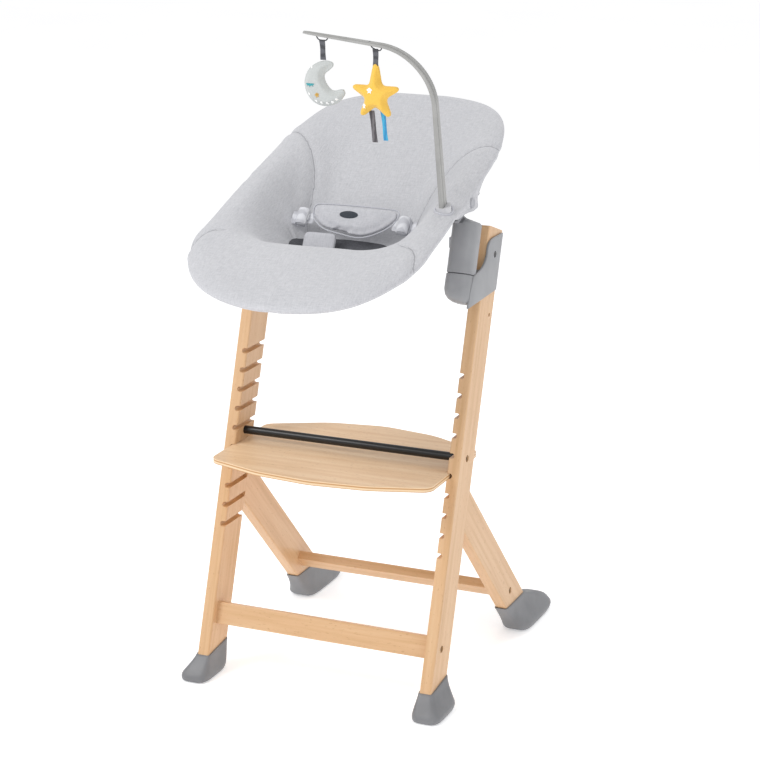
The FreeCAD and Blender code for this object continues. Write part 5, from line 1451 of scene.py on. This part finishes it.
# ------------------------------------------------------------------ toy bar and toys


@dataclass
class Toys:
    """Hanging moon and star with their hooks, tapes and ribbons."""

    bar_lean: float = 18.3
    bar_bend: float = 0.095
    wire: float = 0.0011
    hook_wide: float = 0.011
    hook_high: float = 0.0085
    tape_wide: float = 0.0095
    moon_radius: float = 0.041
    star_tip: float = 0.0462
    star_waist: float = 0.0235

    def arch(self) -> None:
        """Sweep the toy bar: a flat ribbed strip that tapers to its tip."""
        lean = math.radians(self.bar_lean)
        base, corner, tip = np.array([0.190, 0.876]), np.array([0.203, 1.142]), np.array([-0.021, 1.167])
        down, out = (base - corner), (tip - corner)
        down, out = down / np.linalg.norm(down), out / np.linalg.norm(out)
        half = math.acos(float(down @ out)) / 2
        reach = self.bar_bend / math.tan(half)
        first, last = corner + down * reach, corner + out * reach
        heart = corner + (down + out) / np.linalg.norm(down + out) * self.bar_bend / math.sin(half)
        a0 = math.atan2(*(first - heart)[::-1])
        a1 = math.atan2(*(last - heart)[::-1])
        foot = base - (first - base) / np.linalg.norm(first - base) * 0.014
        line = [foot + (first - foot) * k / 16 for k in range(16)]
        line += [heart + self.bar_bend * np.array([math.cos(a), math.sin(a)])
                 for a in np.linspace(a0, a1, 26)]
        line += [last + (tip - last) * k / 16 for k in range(1, 17)]
        path = np.array(line)
        ahead = np.gradient(path, axis=0)
        ahead /= np.linalg.norm(ahead, axis=1, keepdims=True)
        section = [(-1, -0.7), (-0.92, -1), (-0.5, -1), (-0.36, -0.62), (0, -0.55), (0.36, -0.62), (0.5, -1),
                   (0.92, -1), (1, -0.7), (1, 0.45), (0.93, 0.75), (0.55, 0.78), (0.42, 0.45), (0.30, 0.95),
                   (0, 1.08), (-0.30, 0.95), (-0.42, 0.45), (-0.55, 0.78), (-0.93, 0.75), (-1, 0.45)]
        rings = []
        for index, (spot, way) in enumerate(zip(path, ahead)):
            share = index / (len(path) - 1)
            wide, thick = 0.0198 - 0.0125 * share ** 1.1, 0.0086 - 0.0054 * share
            if index in (0, len(path) - 1):
                wide, thick = wide * 0.86, thick * 0.7
            across = np.array([way[1], -way[0]])
            ring = []
            for u, w in section:
                x, z = spot + across * w * thick / 2
                run = (z - 0.876) / math.cos(lean)
                ring.append((x, -0.088 - run * math.sin(lean) + u * wide / 2 * math.cos(lean),
                             0.876 + run * math.cos(lean) + u * wide / 2 * math.sin(lean)))
            rings.append(np.array(ring))
        piece = loft("toy_arch", rings)
        complete(piece, "toy_arch", Finish.BAR, "toy_bar", ("toy_bar",), 28)

    def hook(self, name: str, spot: Vector, slope: float) -> bpy.types.Object:
        """Bend one wire staple under the bar.

        Args:
            name: Name of the piece.
            spot: Place on the bar's underside.
            slope: Fall of the bar per metre towards +X.

        Returns:
            The staple.
        """
        w, h = self.hook_wide, self.hook_high
        row = ((-w, 0.001), (-w * 0.97, -h * 0.35), (-w * 0.62, -h), (0.0, -h), (w * 0.62, -h),
               (w * 0.97, -h * 0.35), (w, 0.001))
        path = [(spot.x + x, spot.y, spot.z + z - slope * x) for x, z in row]
        piece = sweep(name, path, self.wire, 4)
        complete(piece, name, Finish.WIRE, "toy_bar", smooth_angle=60)
        return piece

    def tape(self, name: str, body: str, top: Vector, foot: Vector, wide: float,
             finish: Finish, thick: float = 0.0016, fold: bool = True) -> bpy.types.Object:
        """Hang a short tape between two places, folded round the wire at its top.

        Args:
            name: Name of the piece.
            body: Body that it rides on.
            top: Upper end.
            foot: Lower end.
            wide: Width of the tape.
            finish: Its finish.
            thick: Its thickness.
            fold: Whether it doubles over at the top.

        Returns:
            The tape.
        """
        bpy.ops.object.select_all(action="DESELECT")
        bpy.ops.mesh.primitive_grid_add(x_subdivisions=6, y_subdivisions=18, size=2)
        piece = bpy.context.object
        flat = points(piece)
        share = (1 - flat[:, 1]) / 2
        run = np.array(foot - top)
        middle = np.array(top) + share[:, None] * run
        curl = 0.0009 * np.sin(share * 5.5 + flat[:, 0] * 0.6)
        puff = (0.0016 * (1 - share) ** 2 if fold else 0.0) * np.ones(len(flat))
        middle[:, 0] += flat[:, 0] * wide / 2 * (1 - 0.08 * np.sin(share * math.pi))
        middle[:, 1] += curl - puff
        move_points(piece, middle)
        finish_modifier(piece, "SOLIDIFY", thickness=thick * (1.6 if fold else 1.0), offset=0.0)
        finish_modifier(piece, "BEVEL", width=0.0003, segments=2)
        complete(piece, name, finish, body, smooth_angle=50)
        return piece

    def moon_outline(self, shrink: float) -> list[tuple[float, float]]:
        """Crescent with two blunt horns, open towards the upper right."""
        radius = self.moon_radius - shrink
        row: list[tuple[float, float]] = []
        for a in np.linspace(math.radians(76), math.radians(334), 60):
            row.append((radius * math.cos(a), radius * math.sin(a)))
        inner_tip = np.array([(0.034, -0.0095), (0.0285, -0.0105), (0.021, -0.0115), (0.013, -0.0085),
                              (0.006, -0.002), (0.0005, 0.007), (-0.0015, 0.015), (0.0015, 0.022),
                              (0.008, 0.0275), (0.0135, 0.033), (0.0135, 0.0365)])
        heart = np.array([-0.017, -0.012])
        for x, y in inner_tip:
            pull = (np.array([x, y]) - heart)
            pull = pull * (1 - shrink / np.linalg.norm(pull))
            row.append(tuple(heart + pull))
        return row

    def star_outline(self, shrink: float) -> list[tuple[float, float]]:
        """Five-pointed star with round tips and softly bowed sides."""
        knots: list[tuple[float, float]] = []
        for arm in range(5):
            way = math.radians(90 + 72 * arm)
            tip = self.star_tip - shrink + (0.0085 if arm == 0 else 0)
            blunt = (0.0046 if arm == 0 else 0.0040) - shrink * 0.5
            for part in (-1, 1):
                knots.append((tip * math.cos(way) - part * blunt * math.sin(way),
                              tip * math.sin(way) + part * blunt * math.cos(way)))
            notch = math.radians(90 + 72 * arm + 36)
            waist = self.star_waist - shrink
            knots.append((waist * math.cos(notch), waist * math.sin(notch)))
        corners = np.array(knots + knots[:1])
        gone = np.concatenate([[0], np.cumsum(np.linalg.norm(np.diff(corners, axis=0), axis=1))])
        steps = np.linspace(0, gone[-1], 180, endpoint=False)
        dense = np.stack([np.interp(steps, gone, corners[:, 0]), np.interp(steps, gone, corners[:, 1])], 1)
        bell = np.exp(-0.5 * (np.arange(-5, 6) / 1.9) ** 2)
        bell /= bell.sum()
        soft = sum(np.roll(dense, k - 5, axis=0) * w for k, w in enumerate(bell))
        return [(float(x), float(y)) for x, y in soft]

    def plush(self, name: str, node: str, body: str, outline: Sequence[tuple[float, float]], centre: Vector,
              thick: float, finish: Finish, cap: float) -> bpy.types.Object:
        """Sew and stuff one toy.

        Args:
            name: Name of the piece.
            node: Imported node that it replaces.
            body: Body that it rides on.
            outline: Outline in the toy's plane.
            centre: Place of the outline's origin.
            thick: Thickness before stuffing.
            finish: Its finish.
            cap: How far stuffing may move its skin.

        Returns:
            The stuffed toy.
        """
        piece = slab_from_outline(name, outline, thick)
        swell(piece, 0.0022, cap, pressure=8.0)
        spots = points(piece)
        gap = Harness.distance_to(spots, outline)
        crown = smooth_step(gap, -0.001, 0.011)
        spots[:, 2] = np.sign(spots[:, 2]) * (0.0012 + np.abs(spots[:, 2]) * (0.25 + 0.95 * crown))
        folds = 0.0006 * np.sin(gap * 900 + spots[:, 0] * 260) * (1 - smooth_step(gap, 0.0, 0.010))
        spots[:, 2] += folds * np.sign(spots[:, 2])
        move_points(piece, spots)
        finish_modifier(piece, "SMOOTH", factor=0.5, iterations=2)
        subdivide_smooth(piece)
        piece.matrix_world = Matrix.Translation(centre) @ Matrix.Rotation(math.radians(90), 4, "X")
        complete(piece, name, finish, body, (node,), 70)
        return piece

    def print_on(self, toy: bpy.types.Object, name: str, outline: Sequence[tuple[float, float]],
                 centre: Vector, at: tuple[float, float], finish: Finish, body: str) -> None:
        """Lay a printed motif on the front of a toy.

        Args:
            toy: The toy.
            name: Name of the motif.
            outline: Its outline in the toy's plane.
            centre: Origin of the toy's plane.
            at: Place of the motif in that plane.
            finish: Ink.
            body: Body that it rides on.
        """
        bpy.ops.object.select_all(action="DESELECT")
        bpy.ops.mesh.primitive_circle_add(vertices=len(outline), radius=1, fill_type="TRIFAN")
        piece = bpy.context.object
        flat = np.array([(*p, 0) for p in outline] + [(0, 0, 0)])[:len(points(piece))]
        move_points(piece, np.column_stack([centre.x + at[0] + flat[:, 0],
                                            np.full(len(flat), centre.y - 0.03),
                                            centre.z + at[1] + flat[:, 1]]))
        with editing(piece):
            bpy.ops.mesh.select_all(action="SELECT")
            bpy.ops.mesh.subdivide(number_cuts=2)
        finish_modifier(piece, "SHRINKWRAP", target=toy, wrap_method="PROJECT", use_project_x=False,
                        use_project_y=True, use_project_z=False, use_positive_direction=True,
                        use_negative_direction=False, offset=0.0004)
        finish_modifier(piece, "SOLIDIFY", thickness=0.0004, offset=0.0)
        outward(piece)
        complete(piece, name, finish, body,
                 smooth_angle=60)

    @staticmethod
    def small_star(radius: float, turn: float = 0.0) -> list[tuple[float, float]]:
        """Outline of a small printed star."""
        row = []
        for k in range(10):
            r = radius if k % 2 == 0 else radius * 0.45
            a = math.pi / 2 + turn + k * math.pi / 5
            row.append((r * math.cos(a), r * math.sin(a)))
        return row

    @staticmethod
    def dot(radius: float) -> list[tuple[float, float]]:
        """Outline of a printed dot."""
        turns = np.linspace(0, 2 * math.pi, 14, endpoint=False)
        return [(radius * math.cos(a), radius * math.sin(a)) for a in turns]

    def build(self) -> None:
        """Hang both toys."""
        self.arch()
        spots = {}
        for name in ("moon", "star"):
            box_low, box_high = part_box(name + "_strap")
            spots[name] = Vector(((box_low.x + box_high.x) / 2, (box_low.y + box_high.y) / 2,
                                  box_high.z + 0.0198))
        hook = self.hook("hook_moon", spots["moon"], 0.075)
        self.hook("hook_star", spots["star"], 0.35)
        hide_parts("toy_hooks")
        moon_low, moon_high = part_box("moon")
        centre = Vector(((moon_low.x + moon_high.x) / 2 - 0.001, spots["moon"].y, moon_high.z - 0.0405))
        foot = Vector((spots["moon"].x + 0.002, spots["moon"].y, moon_high.z - 0.002))
        top = spots["moon"] - Vector((0, 0, self.hook_high - 0.001))
        piece = self.tape("moon_tape", "moon", top, foot, self.tape_wide, Finish.TAPE)
        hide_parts("moon_strap")
        moon = self.plush("moon_plush", "moon", "moon", self.moon_outline(0.0012), centre, 0.011, Finish.MOON,
                          0.003)
        star_low, star_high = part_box("star")
        heart = Vector(((star_low.x + star_high.x) / 2, spots["star"].y, star_high.z - 0.045))
        foot = Vector((spots["star"].x, spots["star"].y, star_high.z - 0.004))
        top = spots["star"] - Vector((0, 0, self.hook_high - 0.001))
        piece = self.tape("star_tape", "star", top, foot, self.tape_wide, Finish.TAPE)
        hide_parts("star_strap")
        star = self.plush("star_plush", "star", "star", self.star_outline(0.0012), heart, 0.012, Finish.STAR,
                          0.0035)
        dark = self.tape("ribbon_dark", "star", heart + Vector((-0.008, 0.001, -0.026)),
                         heart + Vector((-0.001, 0.001, -0.078)), 0.0095,
                         Finish.DARK_RIBBON, 0.0012, False)
        self.tape("ribbon_blue", "star", heart + Vector((0.012, 0.001, -0.026)),
                  heart + Vector((0.018, 0.001, -0.074)), 0.008, Finish.BLUE_RIBBON,
                  0.0012, False)
        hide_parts("star_ribbons")
        for k, (x, z, r) in enumerate(((-0.006, 0.008, 0.0055), (-0.017, -0.018, 0.0048))):
            self.print_on(star, "star_print_%d" % (k + 1), self.small_star(r, 0.1 * k), heart, (x, z),
                          Finish.PRINT_WHITE, "star")
        motifs = [("moon_dot_1", self.dot(0.0016), (-0.0235, 0.026), Finish.PRINT_WHITE),
                  ("moon_dot_2", self.small_star(0.003), (-0.027, -0.018), Finish.PRINT_WHITE),
                  ("moon_gold", self.small_star(0.0045, 0.3), (-0.0115, -0.019), Finish.PRINT_GOLD)]
        specks = ((-0.014, -0.029), (-0.004, -0.031), (0.006, -0.0315), (0.015, -0.029), (0.022, -0.024))
        for k, place in enumerate(specks):
            motifs.append(("moon_speck_%d" % (k + 1), self.small_star(0.0028, 0.5 * k), place,
                           Finish.PRINT_WHITE))
        lid = [(-0.0075 + 0.0015 * k, -0.0022 * math.sin(math.pi * k / 10)) for k in range(11)]
        arc = lid + [(x, y - 0.0016) for x, y in reversed(lid)]
        motifs.append(("moon_arc", arc, (-0.0245, 0.0), Finish.PRINT_TEAL))
        for k, (x, turn) in enumerate(((-0.0290, 0.5), (-0.0245, 0.0), (-0.0200, -0.5))):
            lean = 0.0026 * turn
            tick = [(-0.0004 - lean, -0.0030), (0.0004 - lean, -0.0030), (0.0004, 0.0), (-0.0004, 0.0)]
            place = (x, -0.0022 - 0.0006 * (turn == 0))
            motifs.append(("moon_tick_%d" % (k + 1), tick, place, Finish.PRINT_TEAL))
        for name, outline, place, ink in motifs:
            self.print_on(moon, name, outline, centre, place, ink, "moon")
        LOG.info("hung the toys")


# ------------------------------------------------------------------ small fittings


@dataclass
class Fittings:
    """Recline buttons that show through the fabric over the hinges."""

    radius: float = 0.0088
    out: float = 0.0045

    def build(self) -> None:
        """Build both buttons."""
        for label, side in SIDES:
            low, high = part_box("recline_button_" + label)
            centre = (low + high) / 2
            bpy.ops.object.select_all(action="DESELECT")
            bpy.ops.mesh.primitive_cylinder_add(vertices=40, radius=self.radius, depth=0.012,
                                                location=(0, 0, 0))
            piece = bpy.context.object
            with editing(piece):
                pick(piece, lambda face: face.normal.z > 0.9, "FACE")
                bpy.ops.mesh.inset(thickness=0.0022)
                bpy.ops.transform.translate(value=(0, 0, -0.0008))
            finish_modifier(piece, "BEVEL", width=0.0009, segments=3, limit_method="ANGLE",
                            angle_limit=math.radians(35))
            turn = Matrix.Rotation(math.radians(90 * side), 4, "Y")
            piece.matrix_world = Matrix.Translation((side * 0.2095, centre.y, centre.z)) @ turn
            complete(piece, "recline_cap_" + label, Finish.BUTTON, "recline_button_" + label,
                     ("recline_button_" + label,), 40)


# ------------------------------------------------------------------ the studio


@dataclass
class Studio:
    """Pale floor, soft light and the camera."""

    place: tuple[float, float, float] = (1.5348, -3.4805, 1.6226)
    azimuth: float = 23.29
    elevation: float = 16.08
    lens: float = 104.7

    def camera(self) -> None:
        """Set the camera."""
        data = bpy.data.cameras.new("camera")
        data.lens = self.lens
        data.sensor_width = 36
        eye = bpy.data.objects.new("camera", data)
        bpy.context.scene.collection.objects.link(eye)
        eye.location = self.place
        eye.rotation_euler = (math.radians(90 - self.elevation), 0, math.radians(self.azimuth))
        bpy.context.scene.camera = eye

    def light(self, name: str, place: tuple[float, float, float], aim: tuple[float, float, float],
              size: float, power: float) -> None:
        """Hang one soft box.

        Args:
            name: Name of the light.
            place: Where it hangs.
            aim: What it faces.
            size: Side of the box.
            power: Watts.
        """
        data = bpy.data.lights.new(name, "AREA")
        data.size = size
        data.energy = power
        lamp = bpy.data.objects.new(name, data)
        bpy.context.scene.collection.objects.link(lamp)
        lamp.location = place
        lamp.rotation_euler = (Vector(aim) - Vector(place)).to_track_quat("-Z", "Y").to_euler()

    def build(self) -> None:
        """Light the floor and the object."""
        bpy.ops.object.select_all(action="DESELECT")
        bpy.ops.mesh.primitive_plane_add(size=60, location=(0, 0, 0))
        floor = bpy.context.object
        floor.name = "studio_floor"
        material, tree, shade = start_material("paper_floor", Roughness=0.95, Specular_IOR_Level=0.1)
        spot = add_node(tree, "TexCoord").outputs["Object"]
        cloud = add_node(tree, "TexNoise", Vector=spot, Scale=1.5).outputs["Fac"]
        tone = add_node(tree, "ValToRGB", Fac=cloud,
                        stops=((0.0, "F6F6F7"), (1.0, "FAFAFB"))).outputs["Color"]
        tree.links.new(tone, shade.inputs["Base Color"])
        tree.links.new(tone, shade.inputs["Emission Color"])
        shade.inputs["Emission Strength"].default_value = 0.40
        dress(floor, material)
        world = bpy.data.worlds.new("studio")
        world.use_nodes = True
        back = world.node_tree.nodes["Background"]
        back.inputs["Color"].default_value = linear("FFFFFF")
        seen = add_node(world.node_tree, "LightPath").outputs["Is Camera Ray"]
        strength = add_node(world.node_tree, "MapRange", Value=seen, To_Min=0.66, To_Max=1.05)
        world.node_tree.links.new(strength.outputs[0], back.inputs["Strength"])
        bpy.context.scene.world = world
        self.light("key_box", (-1.7, -2.2, 3.0), (0, 0, 0.7), 1.5, 56)
        self.light("fill_box", (2.6, -1.2, 1.8), (0, 0, 0.7), 2.2, 13)
        self.light("back_box", (0.4, 2.4, 2.6), (0, 0, 0.6), 1.8, 18)
        bpy.context.scene.view_settings.view_transform = "Standard"
        self.camera()


def main() -> None:
    """Build everything in order."""
    logging.basicConfig(level=logging.INFO)
    Studio().build()
    WoodenFrame().dress()
    Shoes().build()
    Brackets().build()
    cover = SeatCover()
    sling = cover.build()
    cover.ring()
    cover.lining(sling)
    cover.slit()
    Harness().build()
    Toys().build()
    Fittings().build()
    bpy.ops.object.select_all(action="DESELECT")


if __name__ == "__main__":
    main()
